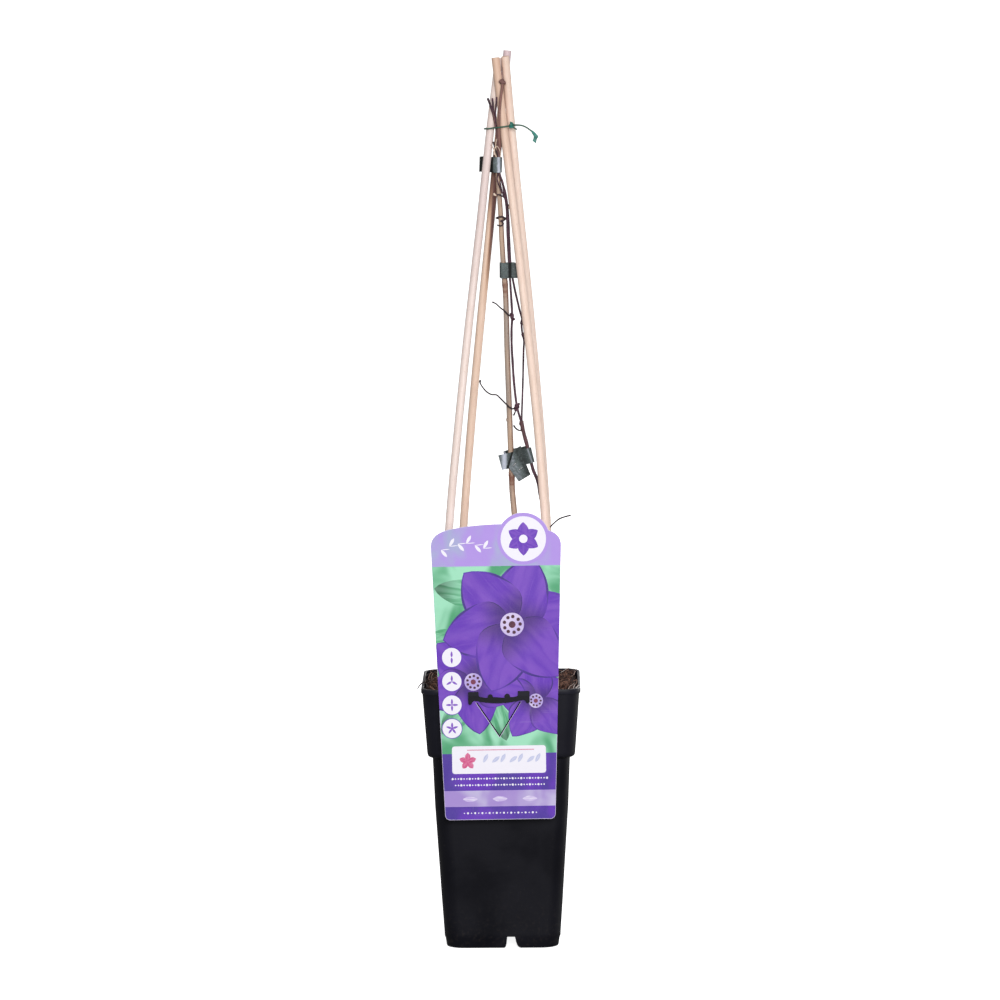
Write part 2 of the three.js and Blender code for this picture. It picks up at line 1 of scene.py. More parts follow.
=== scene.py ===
"""A young clematis in a deep square nursery pot, as sold in winter, dressed in its real surfaces.

The tables give places in millimetres, as the part's source does, and so do helpers that say it.
All else is in metres, +Z up, with the label to the front (-Y) and the origin on the ground under
the pot.
"""
import math
import random

import bmesh
import bpy
import numpy as np
from bpy.props import FloatProperty, FloatVectorProperty, IntProperty, PointerProperty
from mathutils import Matrix, Vector, noise
from mathutils.geometry import delaunay_2d_cdt


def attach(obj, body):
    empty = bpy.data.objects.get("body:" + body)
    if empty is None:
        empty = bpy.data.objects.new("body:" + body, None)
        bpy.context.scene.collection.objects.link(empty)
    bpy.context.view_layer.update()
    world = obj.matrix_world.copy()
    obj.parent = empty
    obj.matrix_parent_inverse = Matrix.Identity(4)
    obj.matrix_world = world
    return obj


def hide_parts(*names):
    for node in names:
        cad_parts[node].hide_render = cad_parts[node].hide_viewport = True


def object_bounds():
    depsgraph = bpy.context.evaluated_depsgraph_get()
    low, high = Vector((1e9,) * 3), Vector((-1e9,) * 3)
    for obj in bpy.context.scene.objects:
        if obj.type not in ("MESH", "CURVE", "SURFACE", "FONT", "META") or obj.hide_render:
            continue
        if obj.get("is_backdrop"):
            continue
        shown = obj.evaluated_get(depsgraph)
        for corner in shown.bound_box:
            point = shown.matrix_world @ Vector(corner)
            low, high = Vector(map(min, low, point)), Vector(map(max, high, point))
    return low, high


bl_info = {
    "name": "Potted clematis",
    "version": (1, 0, 0),
    "blender": (4, 5, 0),
    "location": "3D View > Sidebar > Clematis",
    "description": "Builds a dormant clematis on its canes, in its pot, piece by piece",
    "category": "Add Mesh",
}

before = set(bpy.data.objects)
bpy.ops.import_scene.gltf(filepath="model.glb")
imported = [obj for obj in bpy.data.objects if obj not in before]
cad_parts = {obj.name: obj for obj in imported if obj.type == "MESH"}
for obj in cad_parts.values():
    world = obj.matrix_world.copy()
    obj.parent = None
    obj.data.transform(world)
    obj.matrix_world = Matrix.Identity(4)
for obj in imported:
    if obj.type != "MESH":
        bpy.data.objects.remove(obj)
PLAIN_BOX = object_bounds()

MM = 0.001
TAU = 2 * math.pi

# Sizes of the plain solids, in millimetres

WALL = 1.4
CANE_HALF = 3.5
STAKE_HALF = 2.85
TRUNK_HALF = 1.8


# Settings

def linear(channel):
    """Scene value of a screen channel from 0 to 1."""
    return channel / 12.92 if channel <= 0.04045 else ((channel + 0.055) / 1.055) ** 2.4


def paint(code):
    """Scene colour from a six-figure screen code."""
    return tuple(round(linear((code >> shift & 255) / 255), 5) for shift in (16, 8, 0))


def length(name, millimetres, description):
    """A size that is shown in the scene's own unit."""
    return FloatProperty(
        name=name, description=description, default=millimetres * MM, min=0, unit="LENGTH")


def share(name, value, description):
    """A part of one."""
    return FloatProperty(
        name=name, description=description, default=value, min=0, max=1, subtype="FACTOR")


def colour(name, code, description):
    """A colour to choose, from a six-figure screen code."""
    return FloatVectorProperty(
        name=name, description=description, default=paint(code), min=0, max=1, subtype="COLOR")


class PotSettings(bpy.types.PropertyGroup):
    """Square pot"""
    wall: length("Wall", WALL, "Thickness of the moulded wall")
    plastic: colour("Plastic", 0x0B0B12, "Colour of the pot")
    # The scuffed colour also serves as the painted highlight on the collar and the lip.
    scuffed_and_highlight: colour("Scuffed", 0x23232E, "Colour where the plastic is rubbed")
    dust: colour("Dust", 0x332D2B, "Colour of the compost dust that clings to it")
    wear: share("Wear", 0.35, "How much of the surface is rubbed")


class SoilSettings(bpy.types.PropertyGroup):
    """Compost and coir"""
    grain: length("Grain", 1.35, "Spacing of the crumbs on top")
    relief: length("Relief", 1.1, "Height of the crumbs on top")
    clods: IntProperty(name="Clods", description="Number of loose clods", default=190, min=0)
    fibres: IntProperty(name="Fibres", description="Number of coir fibres", default=680, min=0)
    # The dark colour also serves as painted shade in the hollows between crumbs.
    dark: colour("Dark", 0x22130F, "Colour of wet compost")
    light: colour("Light", 0x4E332A, "Colour of dry crumbs")
    coir: colour("Coir", 0x936C5B, "Colour of fresh fibres")
    old_coir: colour("Old coir", 0x301C18, "Colour of old fibres")


class CaneSettings(bpy.types.PropertyGroup):
    """Four pale canes"""
    radius: length("Radius", CANE_HALF, "Half the thickness of a cane")
    tip: share("Tip", 0.93, "Thickness left at the top")
    # The four cane colours are each cane's own hue and in part painted light and shade, as each
    # cane stands to the lamps.
    front_left: colour("Front left", 0xF0DFD8, "Colour of the front left cane")
    front_right: colour("Front right", 0xF3DACB, "Colour of the front right cane")
    back_left: colour("Back left", 0xF0D3BF, "Colour of the back left cane")
    back_right: colour("Back right", 0xF3DDD0, "Colour of the back right cane")
    grain: share("Grain", 0.4, "Strength of the long grain")


class StakeSettings(bpy.types.PropertyGroup):
    """Thin bamboo stake"""
    radius: length("Radius", 3.05, "Half the thickness at the ground")
    tip: share("Tip", 0.62, "Thickness left at the top")
    skin: colour("Skin", 0xD2B298, "Colour of the bamboo")
    weathered: colour("Weathered", 0xA99C93, "Colour of its grey patches")
    # The joint colour also paints shade down the stake's right side.
    node: colour("Node", 0x7C5040, "Colour of its joints")


class VineSettings(bpy.types.PropertyGroup):
    """Bare stems"""
    trunk: length("Trunk", TRUNK_HALF, "Half the thickness of the trunk")
    stem: length("Stem", 0.95, "Half the thickness of the long stem")
    side_stem: length("Side stem", 0.75, "Half the thickness of the side stem")
    twig: length("Twig", 0.6, "Half the thickness of a twig")
    bark: colour("Bark", 0x3F2732, "Colour of the bark")
    young: colour("Young", 0x704659, "Colour of its lighter strips")
    dry: colour("Dry", 0xB58672, "Colour of dead leaf stalks")


class TieSettings(bpy.types.PropertyGroup):
    """Tying tape and twist tie"""
    width: length("Tape width", 12.4, "Width of the tying tape")
    thickness: length("Tape thickness", 0.36, "Thickness of the tying tape")
    tape: colour("Tape", 0x596564, "Colour of the tape")
    # The silvery colour is a painted highlight on the tape and its creases.
    worn: colour("Worn tape", 0xC2C8D6, "Colour where the tape is creased")
    wire: length("Wire", 0.62, "Half the thickness of the twist tie")
    coat: colour("Coat", 0x2C8578, "Colour of the twist tie")
    old_coat: colour("Old coat", 0x3A5945, "Colour of its dull stretches")
    steel: colour("Steel", 0xC8C8C8, "Colour of the staple")


class LabelSettings(bpy.types.PropertyGroup):
    """Card label and its clip"""
    thickness: length("Thickness", 0.6, "Thickness of the card")
    mesh: length("Mesh", 2.0, "Spacing of the points that carry the print")
    card: colour("Card", 0xD9CFEC, "Colour of the unprinted card")
    violet: colour("Violet", 0x642DB8, "Main ink")
    petal: colour("Petal", 0x8350C6, "Lighter ink of the petals")
    lilac: colour("Lilac", 0xB394E6, "Ink of the upper band")
    mint: colour("Mint", 0xA2E4C2, "Ink behind the blossoms")
    leaf: colour("Leaf", 0x4BA473, "Darker green ink")
    clip: colour("Clip", 0x0C0B10, "Colour of the clip")


class StageSettings(bpy.types.PropertyGroup):
    """Floor, light and camera"""
    floor: colour("Floor", 0xF7F7F7, "Colour of the floor")
    glow: FloatProperty(
        name="Glow", description="Light that the camera sees in the floor", default=0.9, min=0)
    sky: FloatProperty(
        name="Sky", description="Strength of the even light", default=0.45, min=0)
    key: FloatProperty(
        name="Key", description="Strength of the main lamp", default=82, min=0, unit="POWER")
    fill: FloatProperty(
        name="Fill", description="Strength of the side lamp", default=22, min=0, unit="POWER")
    lens: FloatProperty(
        name="Lens", description="Focal length for a 36 mm picture", default=191.4, min=10)


# Small touches of colour beside those of the settings

PALE_ROOT = paint(0xCFC6C2)
CANE_FLECK = paint(0x9A6A4C)
WARM_STAIN_AND_SHADE = paint(0xCFA588)
BROWN_SHADE = paint(0x6E4A44)
GREY_TONE = paint(0xD3BCC0)
BAMBOO_STREAK = paint(0x8A6A50)
BAMBOO_FLECK = paint(0x5E4638)
BARK_PATCH = paint(0x33232B)
BARK_FLECK = paint(0x241A1E)
BLACK_BARK = paint(0x1E1B1C)
DEAD_TIP = paint(0xF0DCC8)
TAPE_SHADE = paint(0x161918)
COAT_SHADE = paint(0x14332A)


# Curves and meshes

CURVE_STEPS = 20


def metres(points):
    """Places given in millimetres, as places of the scene."""
    return [Vector(point) * MM for point in points]


def bend(a, b, leaving, reaching, t):
    """The point at t of a smooth bend from a to b with these end directions."""
    square, cube = t * t, t * t * t
    return (a * (2 * cube - 3 * square + 1) + leaving * (cube - 2 * square + t)
            + b * (3 * square - 2 * cube) + reaching * (cube - square))


def evenly(line, spacing):
    """The same line with its points at an even spacing."""
    run = [0.0]
    for before, after in zip(line, line[1:]):
        run.append(run[-1] + (after - before).length)
    steps = max(3, round(run[-1] / spacing))
    wanted = np.linspace(0, run[-1], steps + 1)
    axes = [np.interp(wanted, run, [point[k] for point in line]) for k in range(3)]
    return [Vector(place) for place in zip(*axes)]


def curve_through(points, spacing, even_knots=False):
    """Points at an even spacing on the smooth curve that the plain rods and tapes follow too."""
    points = [Vector(point) for point in points]
    first = points[0] if even_knots else points[0] * 2 - points[1]
    last = points[-1] if even_knots else points[-1] * 2 - points[-2]
    line = [first, *points, last]
    dense = []
    for a, b, c, d in zip(line, line[1:], line[2:], line[3:]):
        if even_knots:
            leaving, reaching = (c - a) / 2, (d - b) / 2
        else:
            k0, k1, k2 = (math.sqrt((q - p).length) for p, q in ((a, b), (b, c), (c, d)))
            leaving = ((b - a) / k0 - (c - a) / (k0 + k1) + (c - b) / k1) * k1
            reaching = ((c - b) / k1 - (d - b) / (k1 + k2) + (d - c) / k2) * k1
        dense += [bend(b, c, leaving, reaching, k / CURVE_STEPS) for k in range(CURVE_STEPS)]
    return evenly([*dense, points[-1]], spacing)


def ease(value, low, high):
    """0 below low and 1 above high, with a smooth rise between."""
    t = min(1.0, max(0.0, (value - low) / (high - low)))
    return t * t * (3 - 2 * t)


def near(value, middle, reach):
    """1 at the middle, falling to 0 past this reach."""
    return math.exp(-((value - middle) / reach) ** 2)


def tone_layer(bm):
    """The layer that tells a material where the mesh is stained, dry or bright, and where shade and
    highlight are painted on it.
    """
    return bm.verts.layers.float.get("tone") or bm.verts.layers.float.new("tone")


def tube(bm, centres, radius, sides, tone=None, material=0):
    """A closed round skin along centres. Radius takes (share of the way, place, angle), and tone
    (share of the way, place, outward direction)."""
    layer = tone_layer(bm)
    last = len(centres) - 1
    across = None
    rings = []
    for i, centre in enumerate(centres):
        along = (centres[min(i + 1, last)] - centres[max(i - 1, 0)]).normalized()
        across = across or along.orthogonal()
        across = (across - along * across.dot(along)).normalized()
        beside = along.cross(across)
        ring = []
        for k in range(sides):
            angle = TAU * k / sides
            spoke = across * math.cos(angle) + beside * math.sin(angle)
            vert = bm.verts.new(centre + spoke * radius(i / last, centre, angle))
            vert[layer] = tone(i / last, centre, spoke) if tone else 0.0
            ring.append(vert)
        rings.append(ring)
    faces = [bm.faces.new(rings[0][::-1]), bm.faces.new(rings[-1])]
    for low, high in zip(rings, rings[1:]):
        for k in range(sides):
            n = (k + 1) % sides
            faces.append(bm.faces.new((low[k], low[n], high[n], high[k])))
    for face in faces:
        face.material_index = material


def lump(bm, place, radius, seed, stretch, rough, tone, level=2):
    """A small closed clod or knot, its place and radius in millimetres."""
    layer = tone_layer(bm)
    middle = Vector(place) * MM
    made = bmesh.ops.create_icosphere(bm, subdivisions=level, radius=1)["verts"]
    for vert in made:
        swell = 1 + rough * noise.noise(vert.co * 1.7 + Vector((seed, 0, 0)))
        shape = Vector((vert.co.x, vert.co.y, vert.co.z * stretch)) * (radius * MM) * swell
        vert.co = middle + shape
        vert[layer] = tone


def sheet(bm, rows, thickness, tone):
    """A thin closed sheet through rows of points, half its thickness to each side. Tone takes a
    place in millimetres."""
    layer = tone_layer(bm)
    count, wide = len(rows), len(rows[0])

    def normal(i, j):
        along = rows[min(i + 1, count - 1)][j] - rows[max(i - 1, 0)][j]
        across = rows[i][min(j + 1, wide - 1)] - rows[i][max(j - 1, 0)]
        return along.cross(across).normalized() * thickness / 2

    sides = [[[bm.verts.new(rows[i][j] + normal(i, j) * way) for j in range(wide)]
              for i in range(count)] for way in (1, -1)]
    for vert in (v for grid in sides for row in grid for v in row):
        vert[layer] = tone(vert.co / MM)
    for i in range(count - 1):
        for j in range(wide - 1):
            for grid, turn in zip(sides, (1, -1)):
                corners = (grid[i][j], grid[i + 1][j], grid[i + 1][j + 1], grid[i][j + 1])
                bm.faces.new(corners[::turn])
    rim = [(i, 0) for i in range(count)] + [(count - 1, j) for j in range(1, wide)]
    rim += [(i, wide - 1) for i in range(count - 2, -1, -1)]
    rim += [(0, j) for j in range(wide - 2, 0, -1)]
    front, back = sides
    for (i, j), (k, n) in zip(rim, rim[1:] + rim[:1]):
        bm.faces.new((front[k][n], front[i][j], back[i][j], back[k][n]))


def slab(bm, outline, place, front, back, edge):
    """A closed plate from an outline seen from the front, with softened edges."""
    nearer = [bm.verts.new(place(x, z, front)) for x, z in outline]
    farther = [bm.verts.new(place(x, z, back)) for x, z in outline]
    plates = [bm.faces.new(nearer), bm.faces.new(farther[::-1])]
    for k in range(len(outline)):
        n = (k + 1) % len(outline)
        bm.faces.new((nearer[n], nearer[k], farther[k], farther[n]))
    rims = [edge for plate in plates for edge in plate.edges]
    bmesh.ops.bevel(bm, geom=rims, offset=edge, segments=2, affect="EDGES", clamp_overlap=True)


def add_piece(name, bm, materials, stands_for, sharp=42):
    """Makes the mesh an object that rides on the frame in place of its plain node."""
    bmesh.ops.recalc_face_normals(bm, faces=bm.faces)
    mesh = bpy.data.meshes.new(name)
    bm.to_mesh(mesh)
    bm.free()
    mesh.shade_smooth()
    mesh.set_sharp_from_angle(angle=math.radians(sharp))
    for material in materials:
        mesh.materials.append(material)
    piece = bpy.data.objects.new(name, mesh)
    bpy.context.scene.collection.objects.link(piece)
    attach(piece, "root")
    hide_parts(stands_for)


# Node trees

class Nodes:
    """Short calls for building one node tree."""

    def __init__(self, tree):
        self.tree = tree

    def add(self, kind, inputs=None, **settings):
        """A node of this kind, with values or sockets in its inputs."""
        node = self.tree.nodes.new(kind)
        for key, value in settings.items():
            setattr(node, key, value)
        for key, value in (inputs or {}).items():
            if isinstance(value, bpy.types.NodeSocket):
                self.tree.links.new(value, node.inputs[key])
            else:
                node.inputs[key].default_value = value
        return node

    def maths(self, operation, *values, clamp=False):
        """Values or sockets put through one operation."""
        return self.add("ShaderNodeMath", dict(enumerate(values)), operation=operation,
                        use_clamp=clamp).outputs[0]

    def mix(self, factor, a, b):
        """Colour a going to b."""
        a, b = (c if isinstance(c, bpy.types.NodeSocket) else (*c, 1)[:4] for c in (a, b))
        return self.add("ShaderNodeMix", {0: factor, 6: a, 7: b}, data_type="RGBA").outputs[2]

    def touch(self, base, mask, strength, colour):
        """Base going to a colour where the mask is, at this strength."""
        return self.mix(self.maths("MULTIPLY", mask, strength), base, colour)

    def fit(self, value, low, high, to_low=0.0, to_high=1.0):
        """Value from one range to another, kept inside it."""
        return self.add("ShaderNodeMapRange", {0: value, 1: low, 2: high, 3: to_low, 4: to_high},
                        clamp=True, interpolation_type="SMOOTHSTEP").outputs[0]

    def roughness(self, grain, low, high):
        """Roughness between two values, as fine grain goes."""
        return self.fit(grain, 0.3, 0.7, low, high)

    def noise(self, vector, scale, detail, rough=0.5, warp=0.0):
        """Soft noise from 0 to 1."""
        return self.add("ShaderNodeTexNoise", {
            "Vector": vector, "Scale": scale, "Detail": detail, "Roughness": rough,
            "Distortion": warp}).outputs["Fac"]

    def stretched(self, vector, stretch):
        """A vector with each axis multiplied by its own number."""
        return self.add("ShaderNodeVectorMath", {0: vector, 1: stretch},
                        operation="MULTIPLY").outputs[0]

    def place(self):
        """The place on the object, in metres."""
        return self.add("ShaderNodeTexCoord").outputs["Object"]

    def attribute(self, name, output="Fac"):
        """A layer of the mesh."""
        return self.add("ShaderNodeAttribute", attribute_name=name).outputs[output]


def node_group(name, inputs, outputs, fill):
    """A shared effect, built once. Fill takes the nodes, the inputs and returns the outputs."""
    tree = bpy.data.node_groups.get(name)
    if tree:
        return tree
    tree = bpy.data.node_groups.new(name, "ShaderNodeTree")
    for label, kind, value in inputs:
        socket = tree.interface.new_socket(name=label, in_out="INPUT", socket_type=kind)
        if value is not None:
            socket.default_value = value
    for label in outputs:
        tree.interface.new_socket(name=label, in_out="OUTPUT", socket_type="NodeSocketFloat")
    nodes = Nodes(tree)
    came_in = nodes.add("NodeGroupInput")
    results = fill(nodes, came_in.outputs)
    nodes.add("NodeGroupOutput", dict(zip(outputs, results)))
    return tree


FLOAT, VECTOR = "NodeSocketFloat", "NodeSocketVector"


def grain_group():
    """Long streaks and short flecks along +Z, for wood, bark and drawn plastic."""
    def fill(nodes, given):
        lie = nodes.add("ShaderNodeCombineXYZ", {0: 1.0, 1: 1.0, 2: given["Length"]}).outputs[0]
        drawn = nodes.stretched(given["Place"], lie)
        streaks = nodes.noise(drawn, given["Scale"], 4, 0.6, 0.4)
        fine = nodes.noise(drawn, nodes.maths("MULTIPLY", given["Scale"], 3.1), 2, 0.5)
        flecks = nodes.fit(nodes.noise(given["Place"], given["Scale"], 2), 0.63, 0.74)
        height = nodes.maths("ADD", streaks, nodes.maths("MULTIPLY", fine, 0.4))
        return nodes.fit(streaks, 0.3, 0.7), fine, flecks, height
    return node_group("Long grain", [
        ("Place", VECTOR, None), ("Scale", FLOAT, 900.0), ("Length", FLOAT, 0.06),
    ], ("Streaks", "Fine", "Flecks", "Height"), fill)


def mottle_group():
    """Soft patches with fine grain in them."""
    def fill(nodes, given):
        patches = nodes.noise(given["Place"], given["Scale"], 4, 0.55, 0.3)
        fine = nodes.noise(given["Place"], nodes.maths("MULTIPLY", given["Scale"], 14.0), 3, 0.6)
        height = nodes.maths("ADD", patches, nodes.maths("MULTIPLY", fine, 0.5))
        return nodes.fit(patches, 0.32, 0.68), fine, height
    return node_group("Mottle", [
        ("Place", VECTOR, None), ("Scale", FLOAT, 30.0),
    ], ("Patches", "Fine", "Height"), fill)


def scuff_group():
    """Thin rub marks in two directions, inside worn patches."""
    def fill(nodes, given):
        def marks(lie, sharp):
            run = nodes.stretched(given["Place"], lie)
            return nodes.fit(nodes.noise(run, given["Scale"], 2, 0.5, 0.2), sharp, sharp + 0.05)
        where = nodes.fit(nodes.noise(given["Place"], 17.0, 3), 0.5, 0.66)
        both = nodes.maths("MAXIMUM", marks((1.0, 1.0, 0.07), 0.66), marks((0.09, 0.6, 1.3), 0.68))
        mask = nodes.maths("MULTIPLY", both, where)
        return nodes.maths("MULTIPLY", mask, given["Amount"]), where
    return node_group("Scuffs", [
        ("Place", VECTOR, None), ("Scale", FLOAT, 420.0), ("Amount", FLOAT, 0.4),
    ], ("Mask", "Worn"), fill)


def use(nodes, group, **inputs):
    """Places a shared effect and returns its outputs."""
    return nodes.add("ShaderNodeGroup", inputs, node_tree=group).outputs


def finish_material(nodes, base, roughness, height, depth, **plain):
    """The surface shader, with its colour, roughness and relief from nodes."""
    bump = nodes.add("ShaderNodeBump", {"Height": height, "Distance": depth})
    inputs = {"Base Color": base, "Roughness": roughness, "Normal": bump.outputs[0]}
    inputs.update({key.replace("_", " "): value for key, value in plain.items()})
    shader = nodes.add("ShaderNodeBsdfPrincipled", inputs)
    nodes.add("ShaderNodeOutputMaterial", {"Surface": shader.outputs[0]})


def new_material(name):
    """An empty material, with the calls that build its nodes."""
    material = bpy.data.materials.new(name)
    material.use_nodes = True
    material.node_tree.nodes.clear()
    return material, Nodes(material.node_tree)


COLLAR_STEP = (0.157, 0.162)
LIP_STEP = (0.2095, 0.2103)


def moulded_plastic(name, plastic, scuffed_and_highlight, dust, wear, dusty_height):
    """Black moulded plastic with rubbed marks and a dusty foot, and a painted highlight that pales
    the collar and the lip.
    """
    material, nodes = new_material(name)
    place = nodes.place()
    mottle = use(nodes, mottle_group(), Place=place, Scale=21.0)
    scuffs = use(nodes, scuff_group(), Place=place, Scale=420.0, Amount=wear)
    height = nodes.add("ShaderNodeSeparateXYZ", {0: place}).outputs[2]
    low = nodes.fit(height, 0.0, dusty_height, 0.34, 0.0)
    speckle = nodes.fit(mottle["Fine"], 0.5, 0.72)
    dusted = nodes.maths("MULTIPLY", low, speckle)
    specks = nodes.fit(nodes.noise(place, 640.0, 1), 0.74, 0.79, 0.0, 0.5)
    # Painted highlight: the collar and the lip go towards the scuffed colour by height.
    upper = nodes.maths("ADD", nodes.fit(height, *COLLAR_STEP, 0.0, 0.3),
                        nodes.fit(height, *LIP_STEP, 0.0, 0.35))
    base = nodes.touch(plastic, mottle["Patches"], 0.15, scuffed_and_highlight)
    base = nodes.mix(upper, base, scuffed_and_highlight)
    base = nodes.mix(scuffs["Mask"], base, scuffed_and_highlight)
    base = nodes.mix(nodes.maths("MAXIMUM", dusted, specks), base, dust)
    rough = nodes.fit(mottle["Patches"], 0.0, 1.0, 0.36, 0.5)
    rough = nodes.maths("ADD", rough, nodes.maths("MULTIPLY", scuffs["Worn"], 0.08))
    grain = nodes.maths("ADD", mottle["Fine"], nodes.maths("MULTIPLY", scuffs["Mask"], 0.6))
    finish_material(nodes, base, rough, grain, 0.00006, Specular_IOR_Level=0.17)
    return material


def crumbled_compost(settings):
    """Compost with coir in it, with painted shade in its hollows. Tone 1 is a dry crumb."""
    material, nodes = new_material("Compost")
    place = nodes.place()
    coarse = use(nodes, mottle_group(), Place=place, Scale=120.0)
    crumbs = nodes.noise(place, 900.0, 4, 0.65)
    base = nodes.mix(coarse["Patches"], settings.dark, settings.light)
    # Painted shade: the compost goes to its wet dark colour where the crumb noise is high.
    base = nodes.mix(nodes.fit(crumbs, 0.4, 0.62), base, settings.dark)
    bright = nodes.fit(nodes.noise(place, 1300.0, 1), 0.66, 0.72, 0.0, 0.8)
    base = nodes.mix(bright, base, settings.coir)
    tone = nodes.attribute("tone")
    base = nodes.touch(base, tone, 0.6, settings.light)
    rough = nodes.roughness(crumbs, 0.82, 1.0)
    finish_material(nodes, base, rough, crumbs, 0.0007, Specular_IOR_Level=0.2)
    return material


def coir_fibre(settings):
    """Coir and root fibres. Tone 0 is old coir, 0.7 fresh coir and 1 a pale root."""
    material, nodes = new_material("Coir")
    tone = nodes.attribute("tone")
    streaks = use(nodes, grain_group(), Place=nodes.place(), Scale=1500.0, Length=0.3)
    base = nodes.mix(nodes.fit(tone, 0.0, 0.7), settings.old_coir, settings.coir)
    base = nodes.mix(nodes.fit(tone, 0.82, 1.0, 0.0, 0.85), base, PALE_ROOT)
    base = nodes.touch(base, streaks["Flecks"], 0.5, settings.dark)
    rough = nodes.roughness(streaks["Fine"], 0.6, 0.85)
    finish_material(nodes, base, rough, streaks["Height"], 0.0001, Specular_IOR_Level=0.3)
    return material


def pale_cane(name, tint, strength):
    """Peeled cane with long grain. Tone 0.4 is warm, a stain at the cut ends and painted shade near
    the tops, 1 is brown painted shade, -1 is greyer.
    """
    material, nodes = new_material(name)
    place = nodes.place()
    grain = use(nodes, grain_group(), Place=place, Scale=820.0, Length=0.035)
    mottle = use(nodes, mottle_group(), Place=nodes.stretched(place, (1.0, 1.0, 0.16)), Scale=60.0)
    dark = tuple(channel * k for channel, k in zip(tint, (0.84, 0.74, 0.66)))
    light = tuple(min(1.0, channel * 1.06) for channel in tint)
    base = nodes.mix(mottle["Patches"], light, tint)
    base = nodes.touch(base, grain["Streaks"], strength, dark)
    base = nodes.touch(base, grain["Flecks"], 0.25, CANE_FLECK)
    tone = nodes.attribute("tone")
    # Warm is a stain at the cut ends and painted shade near the tops, brown is painted shade, grey
    # makes stretches greyer.
    base = nodes.mix(nodes.fit(tone, 0.0, 0.6), base, WARM_STAIN_AND_SHADE)
    base = nodes.mix(nodes.fit(tone, 0.3, 1.0), base, BROWN_SHADE)
    base = nodes.mix(nodes.fit(tone, 0.0, -1.0), base, GREY_TONE)
    rough = nodes.roughness(grain["Fine"], 0.45, 0.62)
    finish_material(nodes, base, rough, grain["Height"], 0.00012)
    return material


def bamboo(settings):
    """Bamboo skin with grey weathering and long streaks. Tone 1 is a brown joint, and also the
    painted shade down the stake's right side.
    """
    material, nodes = new_material("Bamboo")
    place = nodes.place()
    grain = use(nodes, grain_group(), Place=place, Scale=1100.0, Length=0.03)
    mottle = use(nodes, mottle_group(), Place=nodes.stretched(place, (1.0, 1.0, 0.12)), Scale=95.0)
    base = nodes.mix(mottle["Patches"], settings.skin, settings.weathered)
    base = nodes.touch(base, grain["Streaks"], 0.45, BAMBOO_STREAK)
    # The joint colour carries the real joints and the painted shade down the right side.
    joint = nodes.maths("MULTIPLY", nodes.attribute("tone"),
                        nodes.fit(mottle["Fine"], 0.3, 0.6, 0.55, 1.0))
    base = nodes.mix(joint, base, settings.node)
    base = nodes.touch(base, grain["Flecks"], 0.6, BAMBOO_FLECK)
    rough = nodes.roughness(grain["Fine"], 0.5, 0.75)
    finish_material(nodes, base, rough, grain["Height"], 0.00018)
    return material


def clematis_bark(settings):
    """Ridged purple-brown bark. Tone 1 is dry, 1.6 a pale dead tip, -1 black."""
    material, nodes = new_material("Clematis bark")
    place = nodes.place()
    grain = use(nodes, grain_group(), Place=place, Scale=1700.0, Length=0.12)
    mottle = use(nodes, mottle_group(), Place=place, Scale=130.0)
    base = nodes.mix(nodes.fit(grain["Streaks"], 0.35, 0.9), settings.bark, settings.young)
    base = nodes.touch(base, mottle["Patches"], 0.5, BARK_PATCH)
    tone = nodes.attribute("tone")
    base = nodes.mix(nodes.fit(tone, 0.0, 1.0), base, settings.dry)
    base = nodes.mix(nodes.fit(tone, 0.0, -1.0), base, BLACK_BARK)
    base = nodes.mix(nodes.fit(tone, 1.0, 1.6), base, DEAD_TIP)
    base = nodes.touch(base, grain["Flecks"], 0.5, BARK_FLECK)
    rough = nodes.roughness(grain["Fine"], 0.6, 0.85)
    finish_material(nodes, base, rough, grain["Height"], 0.0003)
    return material


def tying_tape(settings):
    """Grey-green tape, creased and a little shiny. Tone 1 is a painted silvery highlight, -1
    painted black shade.
    """
    material, nodes = new_material("Tying tape")
    place = nodes.place()
    mottle = use(nodes, mottle_group(), Place=place, Scale=180.0)
    drawn = use(nodes, grain_group(), Place=place, Scale=520.0, Length=1.0)
    dark = tuple(channel * 0.6 for channel in settings.tape)
    base = nodes.mix(mottle["Patches"], settings.tape, dark)
    # A faint painted highlight along the creases.
    crease = nodes.maths("MULTIPLY", nodes.fit(drawn["Fine"], 0.56, 0.7), 0.3)
    tone = nodes.attribute("tone")
    silvery = nodes.maths("MAXIMUM", crease, nodes.fit(tone, 0.0, 1.0))
    base = nodes.mix(silvery, base, settings.worn)
    base = nodes.mix(nodes.fit(tone, 0.0, -1.0), base, TAPE_SHADE)
    rough = nodes.roughness(mottle["Fine"], 0.34, 0.52)
    rough = nodes.maths("ADD", rough, nodes.fit(tone, 0.0, -1.0, 0.0, 0.3))
    height = nodes.maths("ADD", mottle["Height"], drawn["Height"])
    finish_material(nodes, base, rough, height, 0.0004, Specular_IOR_Level=0.3)
    return material


def coated_wire(settings):
    """Green coat of the twist tie. Tone 0 is its dull run, 1 its bright ends."""
    material, nodes = new_material("Coated wire")
    place = nodes.place()
    mottle = use(nodes, mottle_group(), Place=place, Scale=210.0)
    base = nodes.mix(nodes.attribute("tone"), settings.old_coat, settings.coat)
    base = nodes.touch(base, mottle["Patches"], 0.35, COAT_SHADE)
    rough = nodes.roughness(mottle["Fine"], 0.35, 0.55)
    finish_material(nodes, base, rough, mottle["Height"], 0.0002)
    return material


def bright_steel(settings):
    """Staple wire with faint drawn lines."""
    material, nodes = new_material("Staple wire")
    grain = use(nodes, grain_group(), Place=nodes.place(), Scale=2600.0, Length=0.2)
    dull = tuple(channel * 0.6 for channel in settings.steel)
    base = nodes.mix(grain["Streaks"], settings.steel, dull)
    rough = nodes.roughness(grain["Fine"], 0.25, 0.42)
    finish_material(nodes, base, rough, grain["Height"], 0.00003, Metallic=1.0)
    return material


